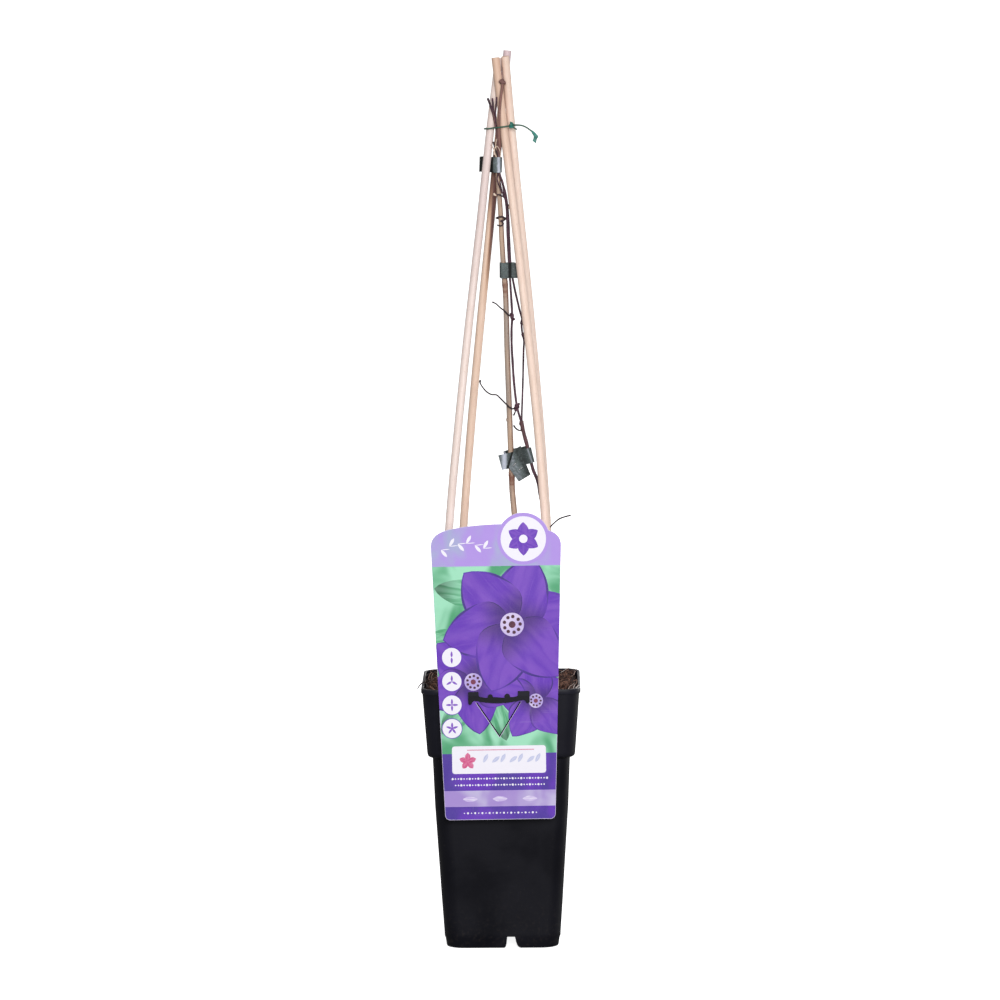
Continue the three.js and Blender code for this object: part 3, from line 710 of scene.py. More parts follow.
def printed_card(settings):
    """Glossy printed card. Inks come from the mesh, veins and soft greens from nodes."""
    material, nodes = new_material("Printed card")
    place = nodes.place()
    ink = nodes.attribute("ink", "Color")
    second = nodes.attribute("second_ink", "Color")
    lie = nodes.attribute("lie", "Vector")
    kind = nodes.attribute("pattern")
    parts = nodes.add("ShaderNodeSeparateXYZ", {0: lie}).outputs

    def along_petal(stretch, low, high, strength):
        drawn = nodes.noise(nodes.stretched(lie, stretch), 1.0, 2)
        return nodes.fit(drawn, low, high, 0.0, strength)

    flush = along_petal((1.6, 2.2, 5.0), 0.4, 0.66, 0.75)
    veins = along_petal((2.0, 13.0, 5.0), 0.5, 0.75, 0.4)
    aside = nodes.maths("ABSOLUTE", parts[1])
    rib = nodes.fit(aside, 0.03, 0.3, 0.55, 0.0)
    on_petal = nodes.maths("MAXIMUM", nodes.maths("MAXIMUM", veins, rib), flush)
    cloudy = nodes.noise(nodes.stretched(place, (1.0, 0.0, 0.8)), 34.0, 2, 0.5, 0.6)
    cloud = nodes.fit(cloudy, 0.38, 0.62)
    petal = nodes.maths("COMPARE", kind, PETAL, 0.3)
    soft = nodes.maths("COMPARE", kind, SOFT, 0.3)
    factor = nodes.maths("ADD", nodes.maths("MULTIPLY", on_petal, petal),
                         nodes.maths("MULTIPLY", cloud, soft), clamp=True)
    base = nodes.mix(factor, ink, second)
    mottle = use(nodes, mottle_group(), Place=place, Scale=55.0)
    scuffs = use(nodes, scuff_group(), Place=place, Scale=380.0, Amount=0.05)
    base = nodes.touch(base, mottle["Fine"], 0.04, (1.0, 1.0, 1.0))
    base = nodes.mix(scuffs["Mask"], base, settings.card)
    rough = nodes.fit(mottle["Patches"], 0.0, 1.0, 0.3, 0.4)
    finish_material(nodes, base, rough, mottle["Height"], 0.00002, Specular_IOR_Level=0.35)
    return material


# Pot

FOOT_HALF = 45.6
BODY_HALF = 55.6
COLLAR_FOOT = 157
COLLAR_FOOT_HALF = 59.9
COLLAR_HALF = 63.4
RIM_HALF = 64.3
RIM_HEIGHT = 214
FLOOR_UNDER = 9.8
FLOOR_TOP = 11.6
SKIRT_INSIDE = [(42.6, FLOOR_UNDER), (42.4, 8), (42.2, 0.4), (42.6, 0)]
CORNER_AT_BASE = 0.3
CORNER_AT_RIM = 0.21
CORNER_STEPS = 9
NOTCH_OFFSET = 6.7
NOTCH_TOP = 9.6
NOTCH = [
    (-5.9, 0), (-5.2, 0.15), (-4.6, 0.6), (-4.1, 1.6), (-3.8, 2.6), (-3.6, 3.6), (-3.1, 9.5),
    (0, 9.5), (3.1, 9.5), (3.7, 6.9), (4.3, 4.3), (4.9, 2.5), (5.7, 1.3), (6.9, 0.45), (8.3, 0),
]
PLAIN_COLUMNS = [-24, -12, -4, 20, 26]
DRAIN_RADIUS = 4
DRAIN_PLACE = 27
DRAIN_SIDES = 20
OUTER_WALL = [
    (FOOT_HALF - 1, 0), (FOOT_HALF - 0.3, 0.35), (FOOT_HALF, 1.4), (46.3, 6.5), (47.1, 8.5),
    (47.3, 12), (49.1, 38.5), (51.1, 71), (54, 117), (BODY_HALF - 0.1, COLLAR_FOOT - 2),
    (BODY_HALF, COLLAR_FOOT - 0.6), (56.1, COLLAR_FOOT - 0.1), (58.2, COLLAR_FOOT + 0.4),
    (59.2, COLLAR_FOOT + 1.2), (59.6, COLLAR_FOOT + 2.4), (COLLAR_FOOT_HALF, COLLAR_FOOT + 4.5),
    (COLLAR_HALF - 0.06, RIM_HEIGHT - 5), (COLLAR_HALF, RIM_HEIGHT - 4.3),
    (RIM_HALF - 0.2, RIM_HEIGHT - 4.1), (RIM_HALF, RIM_HEIGHT - 3.7), (RIM_HALF, RIM_HEIGHT - 0.9),
    (RIM_HALF - 0.15, RIM_HEIGHT - 0.35), (RIM_HALF - 0.6, RIM_HEIGHT),
]
INNER_WALL = [
    (RIM_HALF - 1.7, RIM_HEIGHT), (RIM_HALF - 2.1, RIM_HEIGHT - 0.3),
    (RIM_HALF - 2.25, RIM_HEIGHT - 1), (COLLAR_HALF - WALL, RIM_HEIGHT - 5),
    (COLLAR_FOOT_HALF - WALL, COLLAR_FOOT + 4.9), (57, COLLAR_FOOT + 2.6),
    (BODY_HALF - WALL, COLLAR_FOOT + 0.8), (52.6, 117), (49.7, 71), (47.7, 38.5),
    (46, FLOOR_TOP + 1.5), (44.6, FLOOR_TOP),
]


def square_ring(half, height, columns, spread=False):
    """Places round a square with rounded corners, each side with these columns, in millimetres
    or, where they are spread, as shares of its straight part."""
    corner = half * (CORNER_AT_BASE + (CORNER_AT_RIM - CORNER_AT_BASE) * height / RIM_HEIGHT)
    straight = half - corner
    if spread:
        columns = [straight * column for column in columns]
    one_side = [(offset, -half) for offset in (-straight, *columns, straight)]
    for k in range(1, CORNER_STEPS):
        angle = math.pi / 2 * k / CORNER_STEPS
        one_side.append(
            (straight + corner * math.sin(angle), -straight - corner * math.cos(angle)))
    ring = []
    for _ in range(4):
        ring += one_side
        one_side = [(-y, x) for x, y in one_side]
    return ring


def skin(bm, rings):
    """Walls between rings of the same count."""
    for low, high in zip(rings, rings[1:]):
        for k in range(len(low)):
            n = (k + 1) % len(low)
            bm.faces.new((low[k], low[n], high[n], high[k]))


def circle(bm, x, y, z, radius, sides):
    """Vertices of a level circle, all its sizes in millimetres."""
    return [bm.verts.new(Vector((x + radius * math.cos(TAU * k / sides),
                                 y + radius * math.sin(TAU * k / sides), z)) * MM)
            for k in range(sides)]


def ring_edges(bm, ring):
    """The edges round a ring of vertices."""
    pairs = zip(ring, ring[1:] + ring[:1])
    return [bm.edges.get(pair) or bm.edges.new(pair) for pair in pairs]


def drain_places():
    """The middle of the floor, and a place towards each of its corners."""
    turns = [math.pi / 4 + k * math.pi / 2 for k in range(4)]
    return [(0, 0)] + [(DRAIN_PLACE * math.cos(a), DRAIN_PLACE * math.sin(a)) for a in turns]


def make_pot(settings):
    """One moulded shell: skirt, floor with its drain holes, body, collar and lip."""
    bm = bmesh.new()
    columns = sorted(PLAIN_COLUMNS + [NOTCH_OFFSET + x for x, _ in NOTCH])
    heights = [np.interp(x - NOTCH_OFFSET, *zip(*NOTCH)) for x in columns]
    lifts = ([0] + heights + [0] * CORNER_STEPS) * 4
    outer_z, outer_half = [z for _, z in OUTER_WALL], [half for half, _ in OUTER_WALL]

    def ring(half, height, outside):
        verts = []
        for (x, y), lift in zip(square_ring(half, height, columns), lifts):
            z, grow = height, 1.0
            if height < NOTCH_TOP and lift > 0:
                z = lift + height * (NOTCH_TOP - lift) / NOTCH_TOP
                if outside:
                    grow = 1 + (np.interp(z, outer_z, outer_half)
                                - np.interp(height, outer_z, outer_half)) / half
            verts.append(bm.verts.new((x * grow * MM, y * grow * MM, z * MM)))
        return verts

    thicker = settings.wall / MM - WALL
    rings = [ring(half, z, False) for half, z in SKIRT_INSIDE]
    rings += [ring(half, z, True) for half, z in OUTER_WALL]
    rings += [ring(half - thicker, z, False) for half, z in INNER_WALL]
    skin(bm, rings)
    under, above = ([circle(bm, x, y, z, DRAIN_RADIUS, DRAIN_SIDES) for x, y in drain_places()]
                    for z in (FLOOR_UNDER, FLOOR_TOP))
    for low, high in zip(under, above):
        skin(bm, [low, high])
    for outline, holes in ((rings[0], under), (rings[-1], above)):
        edges = [edge for loop in (outline, *holes) for edge in ring_edges(bm, loop)]
        bmesh.ops.triangle_fill(bm, use_beauty=True, use_dissolve=False, edges=edges)
    plastic = moulded_plastic(
        "Pot plastic", settings.plastic, settings.scuffed_and_highlight, settings.dust, settings.wear, 0.05)
    add_piece("pot_shell", bm, [plastic], "pot", sharp=35)


# Canes and stake

CANE_LEVELS = [118, 207, 280, 350, 430, 510, 590, 661]
CANES = {
    "cane_front_left": (
        [-45.7, -45.7, -44.3, -40.2, -32.3, -23.4, -13.8, -5.8],
        [-44, -44, -42, -37.2, -28.9, -19, -9.6, -2.5], (1.6, 4.2, 719)),
    "cane_front_right": (
        [43.5, 43.5, 41.4, 36.6, 30.4, 22.3, 13.5, 5.4],
        [-44, -44, -42, -37.8, -28.8, -20.4, -12, -5.2], (-1.2, -4.6, 719.5)),
    "cane_back_left": (
        [-36.2, -36.2, -34, -29.3, -22.4, -14.4, -5.9, 1.6],
        [45, 45, 42.5, 36.4, 28.2, 20.1, 11.9, 5], (8.5, 5.4, 725)),
    "cane_back_right": (
        [42.8, 42.8, 41, 37.4, 32.1, 25.5, 18, 11.5],
        [45, 45, 42.5, 37.2, 28.2, 18.5, 9.4, 1.2], (6.7, -3, 720.5)),
}
# Painted shade and greying on the canes, as (strength, rise, fall, one sided) with heights in
# millimetres: brown painted shade down the right side of the back left cane and round the top tape,
# warm painted shade near the tops of the right canes, and greyer stretches at negative strength.
CANE_SHADE_AND_TONES = {
    "cane_front_left": [(-0.4, (430, 620), (640, 690), 0), (-0.15, (640, 690), (800, 801), 0)],
    "cane_front_right": [(0.34, (560, 700), (800, 801), 0)],
    "cane_back_left": [(0.9, (500, 580), (640, 665), 1), (0.8, (570, 622), (640, 665), 0),
                       (-0.9, (690, 712), (800, 801), 0)],
    "cane_back_right": [(0.2, (640, 700), (800, 801), 0)],
}
STAKE = [
    (12, -9, 60), (12, -9, 207), (12.1, -8.5, 300), (12, -8, 345), (11.1, -8, 357),
    (10, -7.5, 370), (9.8, -7.5, 381), (8.6, -6.5, 418), (7.6, -5.5, 451), (6.7, -5, 483),
    (5.6, -4.2, 532), (4.1, -3.4, 552), (2.9, -2.7, 574), (2.4, -2.5, 588), (1.5, -2.1, 604),
    (0.3, -1.8, 622), (-0.4, -1.4, 655),
]
STAKE_NODES = [226, 381, 536]
STAKE_BUDS = [((6.4, -6.8, 427), 1.2, 1.4, 0.25), ((8.2, -9.6, 382.5), 1.1, 1.6, 1.0)]
CANE_SPACING, CANE_SIDES = 0.004, 20
STAKE_SPACING, STAKE_SIDES = 0.0012, 16
HOLE_PLAY = 0.8


def make_cane(node, settings, seed):
    """A peeled cane with a slightly uneven skin and cut ends."""
    xs, ys, top = CANES[node]
    centres = curve_through(metres([*zip(xs, ys, CANE_LEVELS), top]), CANE_SPACING)
    drawn = Vector((seed, seed, 0))

    def radius(way, place, angle):
        cut = 0.9 if way in (0, 1) else 1.0
        uneven = 1 + 0.02 * noise.noise(place * 22 + drawn) + 0.006 * math.sin(3 * angle + seed)
        return settings.radius * (1 + (settings.tip - 1) * way) * uneven * cut

    ends = [centres[0].lerp(centres[1], 0.08), centres[-1].lerp(centres[-2], 0.08)]
    centres = [centres[0], ends[0], *centres[1:-1], ends[1], centres[-1]]
    shade_and_tones = CANE_SHADE_AND_TONES[node]

    # Painted shade and greying from the table, one-sided marks on the shaded right side, and a warm
    # stain at the cut ends.
    def tone(way, place, out):
        height = place.z / MM
        shaded_side = ease(out.x, -0.3, 0.5)
        total = 0
        for strength, rise, fall, one_sided in shade_and_tones:
            total += strength * ease(height, *rise) * (1 - ease(height, *fall)) * (
                shaded_side if one_sided else 1)
        return total + 0.2 * (way in (0, 1))

    bm = bmesh.new()
    tube(bm, centres, radius, CANE_SIDES, tone)
    tint = getattr(settings, node.removeprefix("cane_"))
    finish = pale_cane(f"Cane {seed}", tint, settings.grain)
    add_piece(f"{node}_peeled", bm, [finish], node)


def make_stake(settings):
    """A thin bamboo stake with ridged joints, a broken shoot, and painted shade down its right
    side.
    """
    def joint(place, reach):
        return sum(near(place.z / MM, level, reach) for level in STAKE_NODES)

    def radius(way, place, angle):
        ridge = sum(0.1 * near(place.z / MM, level + rise, 0.9)
                    for level in STAKE_NODES for rise in (0, 2.6))
        flat = 1 - 0.03 * math.cos(2 * angle + place.z * 21)
        taper = 1 + (settings.tip - 1) * way
        return settings.radius * taper * flat * (1.01 + ridge + 0.05 * joint(place, 6))

    def tone(way, place, out):
        lower = place + Vector((0, 0, 0.003))
        mottled = 1 + 1.4 * noise.noise(place * 420)
        # The last term is painted shade down the right side, in the joint colour.
        stain = joint(lower, 6) * mottled + 0.6 * joint(place, 0.9) + 0.9 * ease(out.x, 0.3, 0.85)
        return 1.0 if way in (0, 1) else min(1.0, stain)

    bm = bmesh.new()
    tube(bm, curve_through(metres(STAKE), STAKE_SPACING), radius, STAKE_SIDES, tone)
    for seed, (place, bud, stretch, stain) in enumerate(STAKE_BUDS, 3):
        lump(bm, place, bud, seed, stretch, 0.25, stain)
    add_piece("stake_bamboo", bm, [bamboo(settings)], "stake")


# Clematis

TRUNK = [
    (27, 0, 150), (27, 0, 207), (30, -4, 250), (36, -12, 300), (37.6, -18, 325),
    (36.5, -20.5, 342), (34.5, -20.5, 355), (32.6, -18, 366.6), (30.4, -15, 378.5),
    (27.2, -13, 386.4), (25.1, -12, 394.5), (22.3, -11, 406.6), (19.9, -10, 415.5),
    (17.7, -9.5, 426),
]
LONG_STEM = [
    (18.4, -9.6, 423), (14.6, -9, 436.6), (13.1, -9, 447), (11.7, -8.5, 462.5), (11, -8, 475.5),
    (10.5, -8, 484), (10.4, -7.5, 500), (11, -7, 510), (10.8, -7, 516), (9.4, -6.6, 541),
    (8.6, -6.5, 555), (7.9, -6.4, 568.5), (7.6, -6.1, 580.6), (7.4, -6, 592), (6.5, -5.8, 603),
    (5, -5.4, 613), (3.8, -5.2, 619), (1, -5.1, 627), (0.6, -5.3, 634), (0.4, -5, 646),
    (-0.7, -4.7, 661), (-3.2, -6.2, 674), (-5.4, -5.6, 681), (-7.7, -5.2, 687),
]
SIDE_STEM = [
    (18.4, -9.5, 419), (18.2, -9, 430), (18.7, -8.5, 443), (19.3, -8, 459), (20, -7, 483.5),
    (20.3, -7, 491), (19, -7, 497.5), (18.5, -6.5, 504), (18.9, -6.5, 508), (16.7, -6, 517),
    (13.1, -5.6, 533), (11.6, -5.4, 541), (10.1, -5.3, 549), (9.6, -5.2, 558), (9, -5, 575),
    (8.6, -4.9, 590), (7.6, -4.9, 602), (6.1, -4.7, 611), (4.2, -4.5, 618), (1.5, -4.6, 626.5),
    (1.5, -4.8, 634), (1.8, -5.4, 646), (1.1, -7.5, 661), (1.6, -9.2, 673), (2.7, -9.7, 685.5),
    (4.2, -9, 696), (4.5, -8.7, 702.3),
]
TWIGS = [
    [(-5, -10, 522.7), (-2.4, -9.5, 521.5), (1.2, -9, 518.2), (4.8, -8.6, 515.3), (8.1, -8, 512),
     (11, -7, 510.5)],
    [(-14.9, -16, 460), (-15.4, -16, 458.4), (-13.4, -15, 454.3), (-9.8, -14, 450.1),
     (-6.2, -13, 448), (-2.1, -12, 447.5), (0.7, -11.5, 445), (4.7, -11, 440.9),
     (8.7, -10.2, 437.1), (11.1, -9.8, 436), (14.2, -9, 437.8)],
    [(14.4, -9, 436), (12.9, -9, 433.4), (12, -7.4, 431.2), (11.7, -4.8, 430.6)],
    [(18.1, -9.4, 418.3), (15.8, -9.2, 418.4), (13.4, -8.5, 419.9), (11.7, -6, 422)],
    [(36.8, -19.5, 336), (41.5, -21, 341.7), (45.4, -22, 345.5), (48.6, -23, 347.8),
     (53.5, -24, 349.6), (57.3, -25, 350.6)],
]
CURLS = [
    [(7.4, -6.1, 590.4), (6, -6.6, 590.3), (4.1, -6.6, 591.3), (1.1, -6.2, 591.3),
     (-1, -4.2, 590.6), (-1.3, -1.6, 590), (0.6, 1, 589.6), (4, 1, 589.4), (5.9, -1.6, 589.2),
     (5.6, -4.6, 588.9), (4.1, -6.4, 588.2), (2, -6.8, 588.3), (3.6, -7.1, 587.2),
     (4.4, -6.9, 585.6), (2.1, -6.6, 584.1), (-0.9, -6.2, 584.7)],
    [(6, -5.8, 606), (3.4, -6.6, 608.2), (0.3, -6.8, 609.4), (-1.4, -6.6, 608.6),
     (-2.7, -6.2, 609.4)],
    [(0.6, -5.2, 639), (-0.6, -6, 643), (-2.5, -6.7, 648), (-3.3, -6.9, 652)],
]
SPURS = [
    [(-2.2, -5.7, 671), (-3.2, -5.9, 677), (-3.4, -6.1, 682), (-3.9, -6.1, 687)],
    [(-0.9, -5, 663), (-1.2, -6.6, 670), (-1.4, -8, 676), (-0.6, -8.9, 683), (-0.4, -9.1, 688)],
]
TANGLE = [
    [(0.4, -5.6, 627), (-0.4, -6.6, 621.5), (1.8, -6.9, 615), (4.3, -6.9, 608.9), (6.9, -6, 602)],
    [(1.8, -5.6, 627.2), (3.1, -6.4, 621.5), (4.1, -6.6, 617.5), (6.3, -6.3, 611.9),
     (7.4, -5.8, 602)],
    [(1.9, -6.5, 620), (3.3, -7.2, 613), (5.2, -7, 607.4), (7.2, -6.2, 600)],
]
DEAD_STALKS = [
    [(0.4, -5.6, 636.4), (-1.5, -7, 640.6), (-3, -7.4, 645.3), (-4.9, -7.4, 650.3)],
    [(2.2, -6, 637), (2.2, -7.4, 643.6), (-0.4, -7.9, 648.3), (-3.6, -7.8, 643.6)],
    [(-2.8, -7.5, 641.3), (-2, -7.7, 647.3), (-0.4, -7.4, 654.3)],
]
KNOTS = [
    ((11.1, -7, 510.5), 1.75, 1.35), ((14.2, -9, 438), 2, 1.25), ((13.4, -9.3, 435.2), 1.35, 1),
    ((18.2, -9.5, 421), 1.6, 1.8), ((18.7, -6.6, 506), 1.3, 1.9), ((19.5, -7, 496), 1.2, 1.7),
    ((4.2, -9.2, 700.2), 2.1, 1.2), ((8.8, -5.2, 599.5), 1.2, 1.4), ((36.6, -19.6, 337), 1.7, 1.5),
    ((12.5, -7.4, 508.6), 0.9, 1.3), ((9.7, -7.4, 512.6), 0.85, 1.4),
    ((2.6, -9.9, 700.3), 1.1, 1.3), ((6.1, -8.8, 699.4), 1.1, 1.4), ((16.9, -9.8, 423.6), 0.9, 1.5),
    ((15.9, -9.8, 439.8), 1, 1.2), ((12.7, -9.7, 437.2), 0.9, 1.1),
]
BUD_SCALES = [((9.6, -8.3, 599.2), 1.15), ((-2.9, -6.3, 609.6), 0.7), ((19.3, -7.8, 425), 0.6)]


BARK_RIDGES = 6
TRUNK_MESH = (0.0016, 16)
STEM_MESH = (0.0013, 12)
TWIG_MESH = (0.0009, 9)
CURL_MESH = (0.0006, 9)
TANGLE_MESH = (0.0009, 8)
STALK_MESH = (0.0009, 7)


def bark_radius(thickness, taper, seed):
    """Ridged bark that swells and thins along its way."""
    drawn = Vector((0, seed * 3.1, 0))

    def radius(way, place, angle):
        swell, grit = noise.noise(place * 130 + drawn), noise.noise(place * 900 + drawn)
        uneven = 1 + 0.12 * swell + 0.05 * grit
        ridge = 1 + 0.06 * math.cos(BARK_RIDGES * angle + 4 * noise.noise(place * 60 + drawn))
        return thickness * taper(way) * uneven * ridge
    return radius


def make_vine(settings):
    """The bare plant: trunk, two long stems, twigs, curls, cut tips and dead leaf stalks."""
    bm = bmesh.new()

    def grow(points, thickness, mesh, seed, taper=lambda way: 1.0, tone=lambda way, height: 0.0):
        spacing, sides = mesh
        radius = bark_radius(thickness, taper, seed)
        tube(bm, curve_through(metres(points), spacing), radius, sides,
             lambda way, place, out: tone(way, place.z / MM))

    def cut_twig(way):
        return 0.85 + 0.35 * way + 0.6 * near(way, 0.02, 0.025)

    def dry_in_tangle(way, height):
        return -0.6 + 2.2 * ease(way, 0.72, 0.86) * (600 < height < 630)

    grow(TRUNK, settings.trunk, TRUNK_MESH, 1,
         lambda way: 1 - 0.3 * min(1, way * 2) + 0.2 * ease(way, 0.86, 0.97),
         lambda way, height: 0.22 * ease(way, 0.8, 0.92) - 0.25 * (1 - ease(way, 0.4, 0.8)))
    grow(LONG_STEM, settings.stem, STEM_MESH, 2,
         tone=lambda way, height: 0.3 * ease(way, 0.7, 0.8) - 0.9 * ease(way, 0.94, 1))
    grow(SIDE_STEM, settings.side_stem, STEM_MESH, 3,
         lambda way: 1 + 0.25 * near(way, 0.42, 0.12) + 0.55 * ease(way, 0.7, 0.86),
         lambda way, height: 0.46 * ease(way, 0.7, 0.84))
    for seed, points in enumerate(TWIGS, 10):
        grow(points, settings.twig, TWIG_MESH, seed, cut_twig, lambda way, height: -0.7)
    for seed, points in enumerate(CURLS, 20):
        grow(points, settings.twig, CURL_MESH, seed, tone=dry_in_tangle)
    for seed, points in enumerate(SPURS, 30):
        grow(points, settings.twig * 1.2, TWIG_MESH, seed)
    for seed, points in enumerate(TANGLE, 40):
        grow(points, settings.twig * 0.85, TANGLE_MESH, seed)
    for seed, points in enumerate(DEAD_STALKS, 50):
        grow(points, settings.twig * 0.62, STALK_MESH, seed, lambda way: 1 - 0.3 * way,
             lambda way, height: 1.4)
    for seed, (place, radius, stretch) in enumerate(KNOTS):
        lump(bm, place, radius, seed, stretch, 0.45, 0.38 * ease(place[2], 640, 690))
    for seed, (place, radius) in enumerate(BUD_SCALES, 60):
        lump(bm, place, radius, seed, 1.6, 0.3, 1.6)
    add_piece("clematis_stems", bm, [clematis_bark(settings)], "vine", sharp=60)


# Soil

GAP = 0.35
INSET = 1.75
SOIL_EDGE = 209.3
LIFT_EDGE, LIFT_WIDTH = 61.2, 7
SOIL_WALL = [
    (46 - INSET, FLOOR_TOP + GAP), (47.4 - INSET, FLOOR_TOP + 1.8), (49.1 - INSET, 38.5),
    (51.1 - INSET, 71), (54 - INSET, 117), (BODY_HALF - INSET, COLLAR_FOOT + 1.2),
    (58 - INSET, COLLAR_FOOT + 3.2), (COLLAR_FOOT_HALF - INSET, COLLAR_FOOT + 5.4),
    (63 - INSET, SOIL_EDGE),
]
SOIL_COLUMNS = [k / 16 for k in range(-15, 16)]
HOLE_STEPS = 14
CRUMB_AREA = (47.5, 12.6)
CLOD_AREA = (46, 12)
FIBRE_AREA = (48, 12)
CRUMB_JITTER = 0.35
CRUMB_UNEVEN = 0.25
CLOD_SPREAD = 56
FIBRE_LIMIT = 60.3
FIBRE_SHARES = (0, 0.25, 0.5, 0.75, 1)
FIBRE_SPACING, FIBRE_SIDES = 0.0011, 4
RIM_FIBRES = [
    (0.0, 0.75, [(-54, -19, 210), (-58.5, -24, 213.4), (-62.4, -29.7, 215.8), (-65, -35.5, 215),
                 (-66.4, -38.5, 213.4), (-67.4, -40.5, 211.6)]),
    (0.1, 0.45, [(-57, 10, 211), (-60.5, -8, 214), (-61.4, -24, 215), (-58, -44, 213.6)]),
    (0.1, 0.4, [(-60, 40, 213), (-62, 12, 214.8), (-61.6, -10, 214.6), (-59, -52, 214.6)]),
    (0.6, 0.42, [(-57.4, 43.6, 214), (-58.6, 25, 215), (-59.7, 6.4, 213.6)]),
    (0.55, 0.4, [(-56, 38, 214), (-57, 16, 214.6), (-56.6, -5.8, 213.5)]),
    (0.9, 0.4, [(54.5, -58, 213.6), (56, -50, 214.8), (57.5, -44.6, 214.8), (59.6, -26.2, 214)]),
    (0.95, 0.42, [(58.6, -60, 214.6), (59.2, -53, 215.2), (59.5, -46, 215.2),
                  (60.3, -38.8, 214.5)]),
    (1.0, 0.45, [(60.6, -61, 214.9), (62.4, -53, 215.4), (63.3, -45.5, 215), (61.5, -33, 213.5)]),
    (0.85, 0.42, [(58.9, -10.7, 213.5), (60.9, -12.1, 214.6), (61.6, -20, 214.8), (61, -30, 214.4),
                  (59.4, -38, 213.6)]),
    (1.0, 0.3, [(48.9, 41.2, 213.5), (51.8, 50, 214.2), (54.8, 58, 214.7), (58, 61, 214)]),
    (0.7, 0.26, [(55, 40, 213), (55.1, 48, 216.4), (56.6, 50, 218.3), (58, 50, 219.5)]),
    (0.8, 0.2, [(52, 40, 211), (54, 44, 217), (56.4, 47, 222.4), (57.6, 49, 226)]),
    (0.9, 0.2, [(60, 44, 211), (59.4, 47, 215.4), (57, 50, 218.8), (53, 51, 220.4)]),
    (0.9, 0.24, [(57, 30, 211), (60.4, 33, 214.6), (61.6, 37, 217), (61, 41, 218.4)]),
]


def soil_lift(x, y):
    """Gentle lie of the compost, as in the plain solid."""
    wave = math.sin(0.23 * x + 1.3) * math.cos(0.19 * y) + 0.7 * math.sin(0.41 * y - 0.33 * x)
    return 0.9 * wave


def stem_holes():
    """The plain holes for what stands in the soil: (x, y, radius, foot) in millimetres."""
    feet = [((xs[0], ys[0], CANE_LEVELS[0]), CANE_HALF) for xs, ys, _ in CANES.values()]
    feet += [(STAKE[0], STAKE_HALF), (TRUNK[0], TRUNK_HALF)]
    return [(x, y, half + HOLE_PLAY, z - GAP) for (x, y, z), half in feet]


HOLES = stem_holes()


def clear_of_stems(x, y, room):
    """Whether a place is farther than this from every hole."""
    return all(math.hypot(x - a, y - b) > radius + room for a, b, radius, _ in HOLES)


def in_area(x, y, square, corner):
    """Whether a place lies in a square of this half width, widened by a rounded border."""
    return math.hypot(max(0, abs(x) - square), max(0, abs(y) - square)) < corner


def soil_level(x, y, relief):
    """Height of the crumbled top in millimetres."""
    inward = min(1.0, max(0.0, (LIFT_EDGE - max(abs(x), abs(y))) / LIFT_WIDTH))
    place = Vector((x, y, 0))
    coarse, medium, fine = (noise.noise(place * pitch) for pitch in (0.16, 0.45, 1.1))
    crumb = coarse + 0.6 * medium + 0.35 * fine
    return SOIL_EDGE + inward * (2 + soil_lift(x, y) + relief / MM * crumb)


def triangulated(points, loops):
    """Delaunay triangles over points whose first ones are these loops, as (places, triangles)."""
    edges = []
    start = 0
    for count in loops:
        edges += [(start + k, start + (k + 1) % count) for k in range(count)]
        start += count
    places, _, faces, *_ = delaunay_2d_cdt([Vector(p) for p in points], edges, [], 0, 1e-5)
    return places, faces


def soil_sides(bm):
    """Side and foot of the root ball. Returns its upper ring and where that lies."""
    outlines = [square_ring(half, z, SOIL_COLUMNS, True) for half, z in SOIL_WALL]
    rings = [[bm.verts.new((x * MM, y * MM, z * MM)) for x, y in outline]
             for outline, (_, z) in zip(outlines, SOIL_WALL)]
    skin(bm, rings)
    bm.faces.new(rings[0][::-1])
    return rings[-1], outlines[-1]


def sink_hole(bm, x, y, radius, foot, relief):
    """A blind hole for one stem. Returns its mouth and where that lies."""
    deep = circle(bm, x, y, foot, radius, HOLE_STEPS)
    mouth = circle(bm, x, y, 0, radius, HOLE_STEPS)
    places = [(vert.co.x / MM, vert.co.y / MM) for vert in mouth]
    for vert, place in zip(mouth, places):
        vert.co.z = soil_level(*place, relief) * MM
    bm.faces.new(deep)
    skin(bm, [mouth, deep])
    return mouth, places


def crumbled_top(bm, layer, borders, settings, draw):
    """The top of the root ball between its edge and the mouths of its holes."""
    verts = [vert for ring, _ in borders for vert in ring]
    points = [place for _, outline in borders for place in outline]
    step = settings.grain / MM
    reach = int(60 / step)
    for i in range(-reach, reach + 1):
        for j in range(-reach, reach + 1):
            x, y = (step * (n + draw.uniform(-CRUMB_JITTER, CRUMB_JITTER)) for n in (i, j))
            if in_area(x, y, *CRUMB_AREA) and clear_of_stems(x, y, 0.8):
                points.append((x, y))
    places, faces = triangulated(points, [len(outline) for _, outline in borders])
    for place in places[len(verts):]:
        lift = draw.uniform(-CRUMB_UNEVEN, CRUMB_UNEVEN)
        z = soil_level(place.x, place.y, settings.relief) + lift
        vert = bm.verts.new((place.x * MM, place.y * MM, z * MM))
        vert[layer] = draw.random() ** 3
        verts.append(vert)
    for face in faces:
        x, y = (sum(places[k][axis] for k in face) / 3 for axis in (0, 1))
        if clear_of_stems(x, y, -0.1):
            bm.faces.new([verts[k] for k in face])


